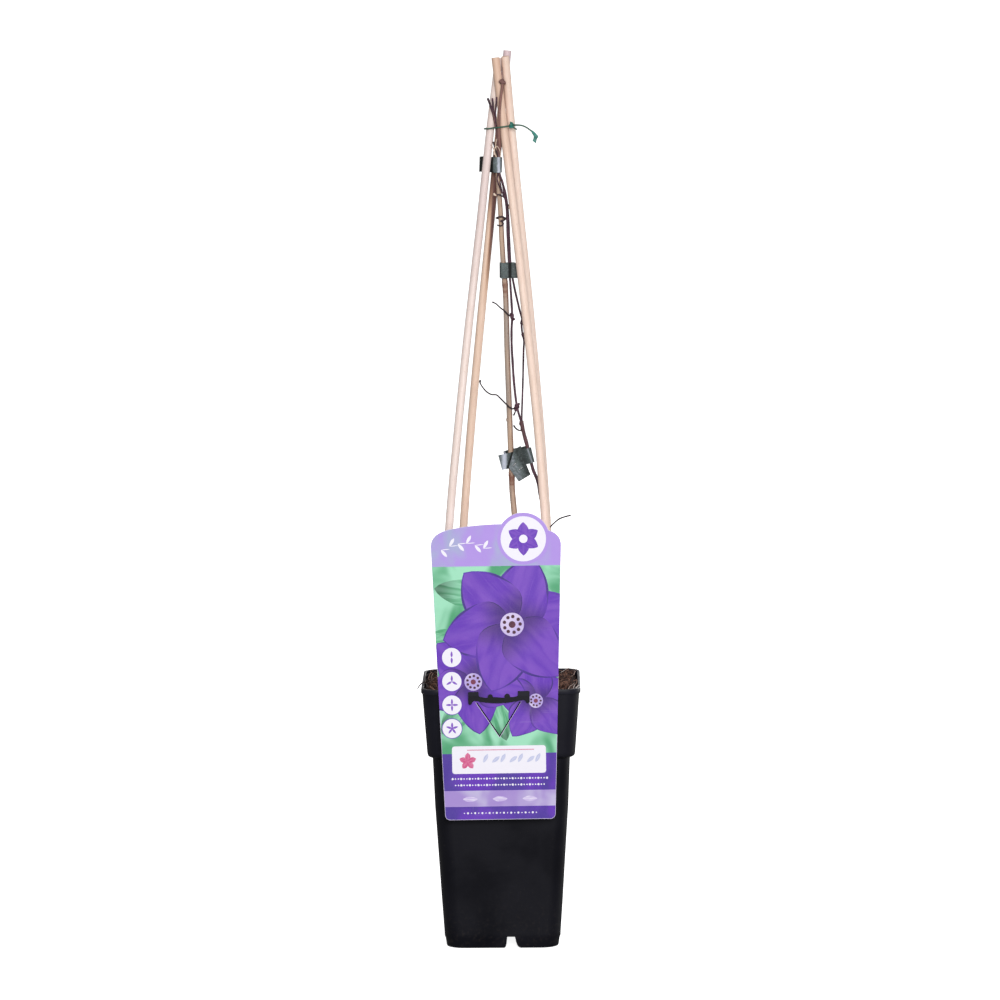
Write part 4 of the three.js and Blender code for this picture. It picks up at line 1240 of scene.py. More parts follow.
def make_soil(settings):
    """Root ball that fills the pot: crumbled top, plain holes for the stems, and loose clods."""
    draw = random.Random(11)
    bm = bmesh.new()
    layer = tone_layer(bm)
    borders = [soil_sides(bm)]
    borders += [sink_hole(bm, *hole, settings.relief) for hole in HOLES]
    crumbled_top(bm, layer, borders, settings, draw)
    for seed in range(settings.clods):
        x, y = (draw.uniform(-CLOD_SPREAD, CLOD_SPREAD) for _ in range(2))
        size = draw.uniform(0.7, 1.9)
        if in_area(x, y, *CLOD_AREA) and clear_of_stems(x, y, size + 0.6):
            z = soil_level(x, y, settings.relief) + 0.25 * size
            lump(bm, (x, y, z), size, seed, 0.75, 0.6, draw.random(), level=1)
    add_piece("root_ball", bm, [crumbled_compost(settings)], "soil", sharp=80)


def loose_fibre(draw, relief):
    """The run of one fibre on the compost, in millimetres, standing up where it meets the rim."""
    side = draw.choice((-1, 1)) if draw.random() < 0.62 else 0
    x = side * draw.uniform(40, 58) if side else draw.uniform(-55, 55)
    y = draw.uniform(-57, 57)
    heading, bowed = draw.uniform(0, TAU), draw.uniform(-1.6, 1.6)
    reach, rise = draw.uniform(5, 19), draw.uniform(0.4, 3.4)
    run = []
    for t in FIBRE_SHARES:
        ahead = heading + bowed * t
        px, py = (max(-FIBRE_LIMIT, min(FIBRE_LIMIT, place)) for place in (
            x + reach * t * math.cos(ahead), y + reach * t * math.sin(ahead)))
        up = rise * math.sin(math.pi * min(1, 0.9 * t + 0.05)) - 0.3 + 2.8 * ease(abs(px), 48, 59)
        run.append((px, py, soil_level(px, py, relief) + up + draw.uniform(-0.3, 0.3)))
    return run


def make_fibres(settings):
    """Coir and fine roots that lie on the compost and stand up along the rim."""
    draw = random.Random(71)
    bm = bmesh.new()
    fibres = list(RIM_FIBRES)
    while len(fibres) < settings.fibres:
        run = loose_fibre(draw, settings.relief)
        if all(in_area(x, y, *FIBRE_AREA) and clear_of_stems(x, y, 0.5) for x, y, _ in run):
            thickness = draw.uniform(0.1, 0.27)
            fibres.append((0.9 * draw.random() ** 1.8, thickness, run))
    for tone, thickness, run in fibres:
        tube(bm, curve_through(metres(run), FIBRE_SPACING),
             lambda way, place, angle: thickness * MM * (1.05 - 0.6 * way), FIBRE_SIDES,
             lambda way, place, out: tone)
    add_piece("coir_fibres", bm, [coir_fibre(settings)], "soil", sharp=60)


# Ties

TAPE_ROWS = 7
TAPE_SPACING = 0.0007
TAIL_STEPS, TAIL_ROWS = 26, 10
TAIL_DEPTH = -12.8
STAPLE_DEPTHS = (-12.6, -13.25)
STAPLE_HALF = 0.4
STAPLE_SPACING, STAPLE_SIDES = 0.0004, 8
TOP_FOOT, MIDDLE_FOOT, BOTTOM_FEET = 627, 541.8, (389, 390.6)
TOP_LOOP = [
    (-4.3, -5.6), (-2.4, -6.9), (0.8, -7.2), (2.8, -6.5), (3.4, -4.8), (3.2, -2.2), (2.2, 0.4),
    (0.2, 1.2), (-4, 0.9), (-9.5, 0.7), (-14.8, -0.3),
]
TOP_INSIDE = [(-4.3, -5.6), (-4.4, -3), (-4.4, 0.9)]
MIDDLE_LEFT = [
    (2.3, -9.9), (5, -9.9), (8.2, -9.4), (9.4, -8.8), (11.8, -8), (13.5, -5.7), (12.2, -3.6),
    (9.5, -1.8), (5.8, -0.1), (2.8, -0.6),
]
MIDDLE_RIGHT = [
    (2.8, -0.6), (1.3, -2.4), (1.4, -4.8), (3.6, -6.9), (6.8, -8), (9.4, -8.8), (12, -9.6),
    (15.4, -9.4),
]
BOTTOM_LEFT = [
    (-0.2, -10.6), (4, -11.2), (9, -11.8), (14, -12.2), (19.4, -13), (24, -14.6), (27, -12.6),
    (25.8, -9.3),
]
BOTTOM_RIGHT = [
    (25.8, -9.3), (21, -7.3), (15, -4.6), (9.8, -3.2), (5.4, -4.6), (4.6, -8.2), (5.8, -11.5),
]
TAIL_LEFT = [(11.7, 403.1), (7.5, 388.6), (15.4, 376.9)]
TAIL_RIGHT = [(17.2, 406.2), (20.6, 393.6), (25.1, 382.7)]
STAPLES = [((10.8, 389.8), (13.3, 392.3)), ((15.4, 386.6), (18.2, 388.4))]


def turned_about(x, z, degrees):
    """The turn that the plain ties have in their upright plane, in metres."""
    place = Vector((x, 0, z)) * MM
    spin = Matrix.Rotation(math.radians(degrees), 4, "Y")
    return Matrix.Translation(place) @ spin @ Matrix.Translation(-place)


def tape(bm, plan, foot, settings, seed, tone, turn=Matrix()):
    """A standing strip of tape along a plan, rippled along its length. Its foot is a height."""
    line = curve_through(metres((x, y, 0) for x, y in plan), TAPE_SPACING, even_knots=True)
    drawn = Vector((seed * 2.3, 0, 0))
    rows = []
    for k, place in enumerate(line):
        flutter = 0.35 * MM * noise.noise(place * 160 + drawn)
        row = []
        for j in range(TAPE_ROWS + 1):
            up = j / TAPE_ROWS
            ripple = 0.16 * MM * noise.noise(place * 420 + Vector((0, 0, 3 * up)) + drawn)
            height = foot * MM + settings.width * up + flutter
            row.append(turn @ (place + Vector((0, ripple, height))))
        rows.append(row)
    sheet(bm, rows, settings.thickness, tone)


def top_tone(spot):
    """Painted highlight, silvery where the top tape faces the light, and painted black shade at its
    folded edge and its tab.
    """
    if spot.y >= -3.4 or spot.x <= -3.5:
        return -0.95
    crossed = 0.5 * noise.noise(Vector((spot.x + spot.z, 0, 0.3 * spot.z)) * 0.9)
    return 0.8 * near(spot.x, 0.9, 1.2) + 0.05 + crossed


def middle_tone(spot):
    """Painted shade along the fold between its two halves, and a little over its right half."""
    return -1.2 * near(spot.x, 9.2, 1.2) - 0.2 * (spot.x > 9.2)


def bottom_tone(spot):
    """Painted silvery highlight on the left half, fading to painted shade towards its right, a
    painted black shadow beside the tail, and a dark right band of painted shade with one painted
    bright strip.
    """
    if spot.x > 15 or spot.y > -10.3:
        across = spot.x + 0.33 * (spot.z - 398.5)
        return 0.3 * ease(across, 19, 23) - 0.6 + 0.9 * near(across, 24.5, 0.9)
    beside_tail = 7.5 + (spot.z - 388.6) * 0.29 - spot.x
    left_half = 0.1 + 0.85 * near(spot.x, 3.8, 2.1) - 0.4 * ease(spot.x, 5.8, 7.4)
    return -1.0 if beside_tail < 1.6 else left_half


def tail_tone(spot):
    """Mottled, darker down its right side and at its foot."""
    patch = noise.noise(Vector((spot.x, spot.z, 0)) * 0.6)
    foot = 376.6 + 0.6 * (spot.x - 15.4) - spot.z
    return (0.35 * patch + 0.25 - 0.85 * ease(spot.x + 0.45 * (spot.z - 390), 13.5, 19.5)
            - 0.5 * ease(foot, -1.2, -0.2))


def tape_tail(bm, settings):
    """The flat end of the lowest tape, hanging in front of it."""
    rows = []
    for k in range(TAIL_STEPS + 1):
        way = k / TAIL_STEPS * (len(TAIL_LEFT) - 1)
        part = min(int(way), len(TAIL_LEFT) - 2)
        left, right = (Vector((a[0], 0, a[1])).lerp(Vector((b[0], 0, b[1])), way - part)
                       for a, b in (side[part:part + 2] for side in (TAIL_LEFT, TAIL_RIGHT)))
        row = []
        for j in range(TAIL_ROWS + 1):
            depth = TAIL_DEPTH - 0.25 * noise.noise(Vector((k * 0.14, j * 0.3, 0)))
            row.append((left.lerp(right, j / TAIL_ROWS) + Vector((0, depth, 0))) * MM)
        rows.append(row)
    sheet(bm, rows, settings.thickness, tail_tone)


def make_tape_ties(settings):
    """Three loops of tying tape, the lowest one crooked and stapled."""
    finish = tying_tape(settings)
    top = turned_about(0, 633, 2)
    bm = bmesh.new()
    tape(bm, TOP_LOOP, TOP_FOOT, settings, 1, top_tone, top)
    tape(bm, TOP_INSIDE, TOP_FOOT, settings, 2, top_tone, top)
    add_piece("tape_loop_top", bm, [finish], "tape_tie_top", sharp=50)
    bm = bmesh.new()
    tape(bm, MIDDLE_LEFT, MIDDLE_FOOT, settings, 3, middle_tone)
    tape(bm, MIDDLE_RIGHT, MIDDLE_FOOT, settings, 4, middle_tone)
    add_piece("tape_loop_middle", bm, [finish], "tape_tie_middle", sharp=50)
    bm = bmesh.new()
    low = turned_about(12, 396.2, -14)
    tape(bm, BOTTOM_LEFT, BOTTOM_FEET[0], settings, 5, bottom_tone, low)
    tape(bm, BOTTOM_RIGHT, BOTTOM_FEET[1], settings, 6, bottom_tone, low)
    tape_tail(bm, settings)
    inner, outer = STAPLE_DEPTHS
    for (x0, z0), (x1, z1) in STAPLES:
        bar = metres([(x0, inner, z0), (x0, outer, z0), (x1, outer, z1), (x1, inner, z1)])
        tube(bm, evenly(bar, STAPLE_SPACING), lambda way, place, angle: STAPLE_HALF * MM,
             STAPLE_SIDES, material=1)
    finishes = [finish, bright_steel(settings)]
    add_piece("tape_loop_bottom", bm, finishes, "tape_tie_bottom", sharp=50)


WIRE_SPACING, WIRE_SIDES = 0.0006, 10
WIRE_END_THICK = 0.42
NO_FLAT_END = 2.0
WIRE_RING = [
    (11.6, -8, 665), (9.4, -9.8, 664.6), (5.4, -10.3, 664), (1.2, -10.2, 663.5), (-3, -8.6, 663),
    (-7.8, -7.2, 662.4), (-10.5, -3.4, 662.2), (-9.6, 1.4, 662.4), (-3.6, 7, 663),
    (1.4, 9.8, 663.4), (6.6, 8.9, 664), (13.6, 5.6, 664.6), (16.2, 1.4, 665), (15.4, -4, 665.2),
    (11.6, -8, 665.6),
]
WIRE_STUB = [(11.4, -9.4, 664.4), (13.5, -9.8, 663), (15.9, -10, 661.8)]
WIRE_TAIL = [
    (11.4, -9.4, 665), (15.9, -10.6, 665.3), (19.1, -11, 665.1), (22.7, -11, 663.8),
    (26, -11, 661.6), (28.2, -11, 659.9), (30, -11, 657.4), (30.4, -11, 655.4),
]
WIRE_END = [
    (28.4, -11.2, 660.3, 0.5), (29.4, -11.2, 658.6, 1.3), (30.9, -11.3, 656.6, 1.5),
    (31.1, -11.1, 655.2, 1.9), (30, -11.3, 653.4, 1.7), (30.4, -11.2, 652, 0.9),
    (30.9, -11.2, 651, 0.4),
]
WIRE_KNOT = [
    (9.6, -10.4, 663.6), (11.4, -11.2, 663.4), (12.9, -9.6, 664.1), (11.6, -8, 664.9),
    (9.9, -9.2, 665.3), (11, -10.9, 665.7), (12.7, -10, 666.4), (11.6, -8.6, 667.2),
    (10.6, -9.6, 667.6),
]


def make_twist_tie(settings):
    """One turn of coated wire round all the canes, with its twisted knot and two ends."""
    bm = bmesh.new()

    def coat(points, thick=1.0, flat_from=NO_FLAT_END, tone=0.15):
        def radius(way, place, angle):
            pressed = max(0.0, min(1.0, (way - flat_from) * 8))
            flat = 1.0 + pressed * (1.1 * abs(math.cos(angle)) - 0.35)
            return settings.wire * thick * flat * (1 + 0.08 * noise.noise(place * 700))
        tube(bm, curve_through(metres(points), WIRE_SPACING), radius, WIRE_SIDES,
             lambda way, place, out: max(tone, min(1.0, (way - flat_from + 0.05) * 6)))

    coat(WIRE_RING)
    coat(WIRE_STUB, 0.95)
    coat(WIRE_TAIL, 1.08, flat_from=0.7)
    coat(WIRE_KNOT, 0.85, tone=0.9)
    lump(bm, (11.2, -9.4, 665.2), 1.5, 9, 1.3, 0.5, 0.9)
    rows = []
    for k, (x, y, z, half) in enumerate(WIRE_END):
        across = Vector((half, 0.5 * half * (-1) ** k, 0.25 * half))
        rows.append([(Vector((x, y, z)) + across * way) * MM for way in (-1, -0.4, 0.3, 1)])
    sheet(bm, rows, WIRE_END_THICK * MM, lambda spot: 1.0)
    add_piece("twist_tie_wire", bm, [coated_wire(settings)], "twist_tie", sharp=60)


# Label and clip

LABEL_FOOT = 109.2
LABEL_SHIFT = -0.8
LABEL_LEAN = math.radians(0.57)
LABEL_FACE = -67.5
FOOT_HALF_WIDTH = 44.3
SHOULDER = 222
SHOULDER_HALF_WIDTH = 52.3
CORNER = 4.5
HEAD = (22.1, 227)
HEAD_RADIUS = 21.2
HEAD_START = (41.8, 233.8)
HEAD_END = (4.8, 239.2)
HEAD_DISC_RADIUS = 18.2
LABEL_SIDE = 60
LABEL_TOP = 262
PICTURE_TOP = 205.4
PICTURE_FOOT = 60.8
BLOCK_TOP = 53.8
BAND = (10.7, 23.7)
LEAVES = [
    (-50, 188, -10, 46, 22), (30, 196, -70, 40, 20), (-46, 70, 50, 44, 20),
    (50, 92, 150, 40, 19), (6, 64, 105, 34, 15), (-30, 150, 190, 30, 15),
]
BLOSSOMS = [(30, 96, 34, 5, 20), (-20, 112, 42, 5, 60), (12, 158, 56, 6, 12)]
SHADED_REACH = 30
SIGN_HEIGHTS = (132.1, 112.6, 93.6, 74.5)
DOT_ROWS = ((33.4, 34), (28.2, 32))
V_EDGE = [(-18.6, 95.2), (0.5, 66.2), (18.4, 95.5), (17.6, 95.4), (0.5, 67.7), (-17.6, 95.1)]
V_CUT = [(-18.1, 95), (0.5, 66.9), (18.1, 95.3), (17.05, 95.5), (0.5, 68.6), (-17.05, 95.2)]
SLOT_PLACES = [(-20, 100.8), (20.4, 100.8)]
SLOT_HALF = (3.0, 2.5)
LEAF_STEPS = 16
SLIVER = 1e-7
CLIP_FACE = -69.4
CLIP_THICK = 1.5
CLIP_EDGE = 0.22
HOOK_WIDTH = 5
HOOK_ASIDE = -1.8
HOOK_EDGE = 0.2
EDGE = 0.3
PLAIN, PETAL, SOFT = 0, 1, 2
WHITE_INK = paint(0xF4F1FB)
DEEP_INK = paint(0x3E2484)
MAROON_INK = paint(0x4A1730)
DULL_MAROON_INK = paint(0x7E3350)
BLUE_GREY_INK = paint(0xA9AED6)
DISC_INKS = (paint(0xD9CBEF), paint(0xB7A3E2))
BLOCK_SHADE_INK = paint(0x4A2E9C)
STRIP_INKS = (paint(0xC6BCE2), paint(0xA68BD2))
BAR_INK = paint(0xD35C8C)
PINK_INKS = (paint(0xCF3F7C), paint(0xE58AB0))
PALE_LEAF_INKS = (paint(0xBFC4E4), paint(0xD9DCF2))
BAND_LEAF_INK = paint(0xC9B4E8)


def on_label(x, z, depth):
    """A place of the label's own upright frame, on the leaning label in front of the pot."""
    cos, sin = math.cos(LABEL_LEAN), math.sin(LABEL_LEAN)
    return Vector((x * cos - z * sin + LABEL_SHIFT, depth, x * sin + z * cos + LABEL_FOOT)) * MM


def arc(x, z, radius, start, end, steps):
    """Places along an arc between two angles."""
    angles = [start + (end - start) * k / steps for k in range(steps + 1)]
    return [(x + radius * math.cos(a), z + radius * math.sin(a)) for a in angles]


def disc(x, z, radius, sides):
    """Outline of a round spot."""
    return arc(x, z, radius, 0, TAU, sides)[:-1]


def rectangle(x0, z0, x1, z1):
    """Outline of an upright rectangle."""
    return [(x0, z0), (x1, z0), (x1, z1), (x0, z1)]


def bow(a, b, c, steps=8):
    """Points of the curve from a to c that leans towards b, without a."""
    points = []
    for k in range(1, steps + 1):
        t = k / steps
        points.append(tuple((1 - t) ** 2 * p + 2 * t * (1 - t) * q + t * t * r
                            for p, q, r in zip(a, b, c)))
    return points


def card_outline():
    """Tapered card with a round head, anticlockwise from the foot."""
    foot, shoulder = FOOT_HALF_WIDTH, SHOULDER_HALF_WIDTH
    line = [(-foot + CORNER, 0), (foot - CORNER, 0)]
    line += bow(line[-1], (foot, 0), (foot + 0.15, CORNER))
    line += [(shoulder, SHOULDER)]
    line += bow(line[-1], (shoulder - 0.4, SHOULDER + 9), HEAD_START)
    start, end = (math.atan2(z - HEAD[1], x - HEAD[0]) for x, z in (HEAD_START, HEAD_END))
    line += arc(*HEAD, HEAD_RADIUS, start, end, 30)
    line += bow(line[-1], (-18, 239), (-35, 235.8))
    line += bow(line[-1], (-52, 232.9), (-shoulder, SHOULDER))
    line += [(-foot - 0.15, CORNER)]
    line += bow(line[-1], (-foot, 0), (-foot + CORNER, 0))[:-1]
    return line


def inset(outline, by):
    """The outline moved inwards, for the print's edge."""
    moved = []
    count = len(outline)
    for k in range(count):
        a, b = outline[k - 1], outline[(k + 1) % count]
        across, up = b[0] - a[0], b[1] - a[1]
        step = by / math.hypot(across, up)
        moved.append((outline[k][0] - up * step, outline[k][1] + across * step))
    return moved


def rounded_box(x0, z0, x1, z1, corner):
    """Outline of a rectangle with round corners."""
    line = []
    for x, z, start in ((x1 - corner, z0 + corner, -0.25), (x1 - corner, z1 - corner, 0),
                        (x0 + corner, z1 - corner, 0.25), (x0 + corner, z0 + corner, 0.5)):
        line += arc(x, z, corner, start * TAU, (start + 0.25) * TAU, 5)
    return line


def leaf_outline(root, heading, reach, wide, blunt=1.0):
    """A petal or leaf: a bulging shape from its root along its heading, with soft edges."""
    sides = ([], [])
    for k in range(LEAF_STEPS + 1):
        t = k / LEAF_STEPS
        wavy = 1 + 0.05 * math.sin(9 * t + reach)
        half = wide / 2 * math.sin(math.pi * t ** blunt) ** 0.75 * wavy
        for side, way in zip(sides, (1, -1)):
            side.append((root[0] + reach * t * math.cos(heading) - way * half * math.sin(heading),
                         root[1] + reach * t * math.sin(heading) + way * half * math.cos(heading)))
    return sides[1] + sides[0][::-1][1:-1]


class PrintPlan:
    """The print: shapes in painting order, as (outline, ink, second ink, pattern, lie, zone)."""

    def __init__(self, settings):
        self.card, self.violet, self.petal, self.lilac, self.mint, self.leaf = (
            tuple(ink) for ink in (settings.card, settings.violet, settings.petal, settings.lilac,
                                   settings.mint, settings.leaf))
        self.draw = random.Random(5)
        self.edge = inset(card_outline(), EDGE)
        self.shapes = []

    def lay(self, outline, ink, second=None, pattern=PLAIN, lie=None, zone=None):
        """One shape over those before it."""
        self.shapes.append((outline, ink, second or ink, pattern, lie, zone))

    def lay_leaf(self, root, degrees, reach, wide, ink, second, zone=None, blunt=1.0):
        """A leaf or petal whose second ink shows in its veins."""
        heading = math.radians(degrees)
        lie = (root, heading, reach, wide / 2, self.draw.uniform(0, 9))
        outline = leaf_outline(root, heading, reach, wide, blunt)
        self.lay(outline, ink, second, PETAL, lie, zone)

    def lay_blossom(self, x, z, size, count, turn, zone):
        """Petals with dark edges round a pale disc with a ring of dots."""
        for k in range(count):
            degrees = turn + 360 * k / count
            self.lay_leaf(
                (x, z), degrees, size * 1.02, size * 0.84, DEEP_INK, self.violet, zone, 0.72)
            self.lay_leaf((x, z), degrees, size, size * 0.8, self.violet, self.petal, zone, 0.72)
        self.lay(disc(x, z, size * 0.17, 28), *DISC_INKS, SOFT, zone=zone)
        for k in range(9):
            heading = TAU * (k + 0.1 * self.draw.random()) / 9
            dot = (x + size * 0.115 * math.cos(heading), z + size * 0.115 * math.sin(heading))
            self.lay(disc(*dot, size * 0.026, 10), MAROON_INK, zone=zone)
        self.lay(disc(x, z, size * 0.05, 16), MAROON_INK, DULL_MAROON_INK, SOFT, zone=zone)

    def lay_picture(self):
        """Blossoms and leaves on soft greens."""
        picture = (PICTURE_FOOT, PICTURE_TOP)
        self.lay(self.edge, self.mint, self.leaf, SOFT)
        for x, z, degrees, reach, wide in LEAVES:
            self.lay_leaf((x, z), degrees, reach, wide, self.leaf, self.mint, picture)
        for blossom in BLOSSOMS:
            self.lay_blossom(*blossom, picture)

    def lay_head(self):
        """The upper band with a sprig, and the blossom sign in the round head."""
        band = rectangle(-LABEL_SIDE, PICTURE_TOP, LABEL_SIDE, LABEL_TOP)
        self.lay(band, self.lilac, BLUE_GREY_INK, SOFT, zone=self.edge)
        self.lay(disc(*HEAD, HEAD_RADIUS - EDGE, 48), self.lilac, zone=self.edge)
        self.lay(disc(*HEAD, HEAD_DISC_RADIUS, 44), WHITE_INK)
        self.lay(V_EDGE, self.card)
        for turn in range(6):
            self.lay_leaf(HEAD, 30 + 60 * turn, 13.5, 10.5, self.violet, self.petal, blunt=0.62)
        self.lay(disc(*HEAD, 3.4, 20), WHITE_INK)
        sprig = [(-44 + 34 * t, 219 + 5 * math.sin(3 * t)) for t in (0, 0.2, 0.4, 0.6, 0.8, 1)]
        for k, place in enumerate(sprig):
            self.lay_leaf(place, 60 if k % 2 else -50, 7.5, 2.6, WHITE_INK, WHITE_INK)
            self.lay_leaf(place, 5, 7.2, 0.7, WHITE_INK, WHITE_INK)

    def lay_signs(self):
        """Four round spots, each with a small sign of leaves."""
        for k, z in enumerate(SIGN_HEIGHTS):
            x = -37 - 0.2 * k
            self.lay(disc(x, z, 8.3, 32), self.violet)
            self.lay(disc(x, z, 7.75, 32), WHITE_INK)
            for turn in range(k + 2):
                degrees = 90 + 360 * turn / (k + 2)
                self.lay_leaf((x, z), degrees, 5, 1.7, self.petal, self.petal)

    def lay_block(self):
        """The lower block with its white panel, rows of dots and leafy strip."""
        block = rectangle(-LABEL_SIDE, -2, LABEL_SIDE, BLOCK_TOP)
        self.lay(block, self.violet, BLOCK_SHADE_INK, SOFT, zone=self.edge)
        strip = rectangle(-LABEL_SIDE, BAND[0], LABEL_SIDE, BAND[1])
        self.lay(strip, *STRIP_INKS, SOFT, zone=self.edge)
        self.lay(rounded_box(-38.1, 37.5, 37.4, 59.9, 2.2), WHITE_INK)
        self.lay(rounded_box(-26, 56.4, 28, 57, 0.25), BAR_INK)
        for turn in range(5):
            self.lay_leaf((-25.5, 47.6), 90 + 72 * turn, 7, 4.6, *PINK_INKS)
        for k in range(7):
            self.lay_leaf((-13 + 7 * k, 46.4), 38 if k % 2 else 62, 8, 3, *PALE_LEAF_INKS)
        for row, (z, count) in enumerate(DOT_ROWS):
            for k in range(count):
                x = (k - (count - 1) / 2) * 2.3
                self.lay(disc(x, z, 0.62 if (k + row) % 3 else 0.95, 8), WHITE_INK)
        for k in range(-1, 2):
            self.lay_leaf((24 * k - 6, 16.8), 0, 12, 4.4, BAND_LEAF_INK, WHITE_INK)
        for k in range(21):
            self.lay(disc((k - 10) * 2.9, 5.4, 0.85 if k % 2 else 0.5, 10), WHITE_INK)


def print_shapes(settings):
    """All printed shapes, the later ones over the earlier ones."""
    plan = PrintPlan(settings)
    plan.lay_picture()
    plan.lay_head()
    plan.lay_signs()
    plan.lay_block()
    return plan.shapes


def inside(places, outline):
    """Which of these places are inside the outline, as a row of truth values."""
    x, z = places[:, 0], places[:, 1]
    odd = np.zeros(len(places), bool)
    count = len(outline)
    for k in range(count):
        (x0, z0), (x1, z1) = outline[k - 1], outline[k]
        if z0 == z1:
            continue
        crosses = (z0 > z) != (z1 > z)
        odd ^= crosses & (x < x0 + (z - z0) * (x1 - x0) / (z1 - z0))
    return odd


def in_zone(places, zone):
    """Which of these places may be printed: all, those between two heights, or in an outline."""
    if zone is None:
        return np.ones(len(places), bool)
    if len(zone) == 2:
        return (places[:, 1] > zone[0]) & (places[:, 1] < zone[1])
    return inside(places, zone)


def divided_card(outline, holes, shapes, step):
    """The card's places, its triangles, and the number of the shape shown on each, -1 for none."""
    loops = [outline, *holes, *[shape[0] for shape in shapes]]
    points = [place for loop in loops for place in loop]
    points += [(x * step, z * step) for x in range(-26, 27) for z in range(1, 124)]
    places, faces = triangulated(points, [len(loop) for loop in loops])
    spots = np.array([(p.x, p.y) for p in places])
    corners = np.array([list(face) for face in faces])
    middles = spots[corners].mean(axis=1)
    kept = inside(middles, outline)
    for hole in holes:
        kept &= ~inside(middles, hole)
    a, b, c = (spots[corners[:, k]] for k in range(3))
    kept &= np.abs(np.cross(b - a, c - a)) > SLIVER
    corners, middles = corners[kept], middles[kept]
    shown = np.full(len(corners), -1)
    for number, (loop, _, _, _, _, zone) in enumerate(shapes):
        shown[inside(middles, loop) & in_zone(middles, zone)] = number
    return spots, corners, shown


def make_label(settings):
    """Printed card: one flat sheet whose faces are divided along the printed shapes."""
    wide, high = SLOT_HALF
    slots = [rectangle(x - wide, z - high, x + wide, z + high) for x, z in SLOT_PLACES]
    shapes = print_shapes(settings)
    spots, corners, shown = divided_card(
        card_outline(), [V_CUT, *slots], shapes, settings.mesh / MM)

    bm = bmesh.new()
    used = {int(k) for k in corners.ravel()}
    front, back = ({k: bm.verts.new(on_label(*spots[k], depth)) for k in used}
                   for depth in (LABEL_FACE, LABEL_FACE + settings.thickness / MM))
    ink = bm.loops.layers.float_color.new("ink")
    second_ink = bm.loops.layers.float_color.new("second_ink")
    lie_layer = bm.loops.layers.float_vector.new("lie")
    pattern_layer = bm.faces.layers.float.new("pattern")
    card = (*settings.card, 1.0)
    for row, number in zip(corners, shown):
        face = bm.faces.new([front[int(k)] for k in row])
        other = bm.faces.new([back[int(k)] for k in row[::-1]])
        for loop in (*other.loops, *face.loops):
            loop[ink] = loop[second_ink] = card
        if number < 0:
            continue
        _, first, second, pattern, lie, _ = shapes[number]
        face[pattern_layer] = pattern
        for k, loop in zip(row, face.loops):
            shade = 1.0
            if lie:
                root, heading, reach, half, seed = lie
                dx, dz = spots[k][0] - root[0], spots[k][1] - root[1]
                along = (dx * math.cos(heading) + dz * math.sin(heading)) / reach
                aside = (dz * math.cos(heading) - dx * math.sin(heading)) / half
                loop[lie_layer] = (along, aside, seed)
                shade = 0.42 + 0.58 * ease(along, 0.05, 0.5) if reach > SHADED_REACH else 1.0
            loop[ink] = (*(c * shade for c in first), 1.0)
            loop[second_ink] = (*(c * shade for c in second), 1.0)
    close_edges(bm, front, back, ink, second_ink, card)
    add_piece("label_card", bm, [printed_card(settings)], "label", sharp=30)


def close_edges(bm, front, back, ink, second_ink, card):
    """Walls between the front and the back of the card, in its plain colour."""
    partner = {front[k]: back[k] for k in front}
    open_edges = [e for e in bm.edges if len(e.link_faces) == 1 and e.verts[0] in partner]
    for edge in open_edges:
        loop = edge.link_loops[0]
        a, b = loop.vert, loop.link_loop_next.vert
        wall = bm.faces.new((b, a, partner[a], partner[b]))
        for corner in wall.loops:
            corner[ink] = corner[second_ink] = card


def clip_outline():
    """The bar seen from the front: two end lugs, two pegs and a sagging lower edge."""
    line = [(-24.3, 97.2), (-24.3, 102.8)]
    line += bow(line[-1], (-24.3, 104), (-23.1, 104), 4)
    line += [(-16, 104), (-16, 100.2)]
    line += bow(line[-1], (-11.6, 99.2), (-8.2, 98.9), 5)
    line += arc(-6.5, 100, 2, math.pi * 1.1, -math.pi * 0.1, 10)
    line += [(5.2, 98.7)]
    line += arc(7.1, 100, 2.2, math.pi * 1.1, -math.pi * 0.1, 10)
    line += bow(line[-1], (12.2, 99.2), (15.8, 100.2), 5)
    line += [(15.8, 104.2), (23.9, 104.2)]
    line += bow(line[-1], (25.1, 104.2), (25.1, 103), 4)
    line += [(25.1, 96.8)]
    line += arc(23.6, 95.8, 1.5, 0, -math.pi, 8)
    line += bow(line[-1], (21.8, 98.4), (17.4, 96.8), 5)
    line += bow(line[-1], (0.8, 92.8), (-16.6, 96.6), 12)
    line += bow(line[-1], (-21, 98.2), (-21.3, 95.2), 5)
    line += arc(-22.8, 95.2, 1.5, 0, -math.pi, 8)
    return line


def hook_outline():
    """A hook seen from the side, from the back of the bar to the inside of the rim."""
    start, over, top = CLIP_FACE + 0.5, RIM_HEIGHT + GAP, RIM_HEIGHT + GAP + 1.4
    behind_rim, end = -RIM_HALF + 2.9, -RIM_HALF + 4.2
    return [(start, 208.2), (-65, 208.2), (-65, over), (behind_rim, over), (behind_rim, 210.6),
            (end, 210.6), (end, top), (-66.5, top), (-66.5, 211.4), (start, 211.4)]


def make_clip(settings, pot):
    """The clip: a bar in front of the card, and two hooks through it and over the rim."""
    bm = bmesh.new()
    slab(bm, clip_outline(), on_label, CLIP_FACE, CLIP_FACE + CLIP_THICK, CLIP_EDGE * MM)
    for x, _ in SLOT_PLACES:
        middle = x + HOOK_ASIDE
        slab(bm, hook_outline(), lambda y, z, x: Vector((x, y, z)) * MM,
             middle - HOOK_WIDTH / 2, middle + HOOK_WIDTH / 2, HOOK_EDGE * MM)
    # The height steps of the pot's painted highlight also pale the clip, which stands above the
    # collar step.
    finish = moulded_plastic("Clip plastic", settings.clip, pot.scuffed_and_highlight, pot.dust, 0.2, 0.01)
    add_piece("clip_bar", bm, [finish], "label_clip", sharp=35)


# Stage

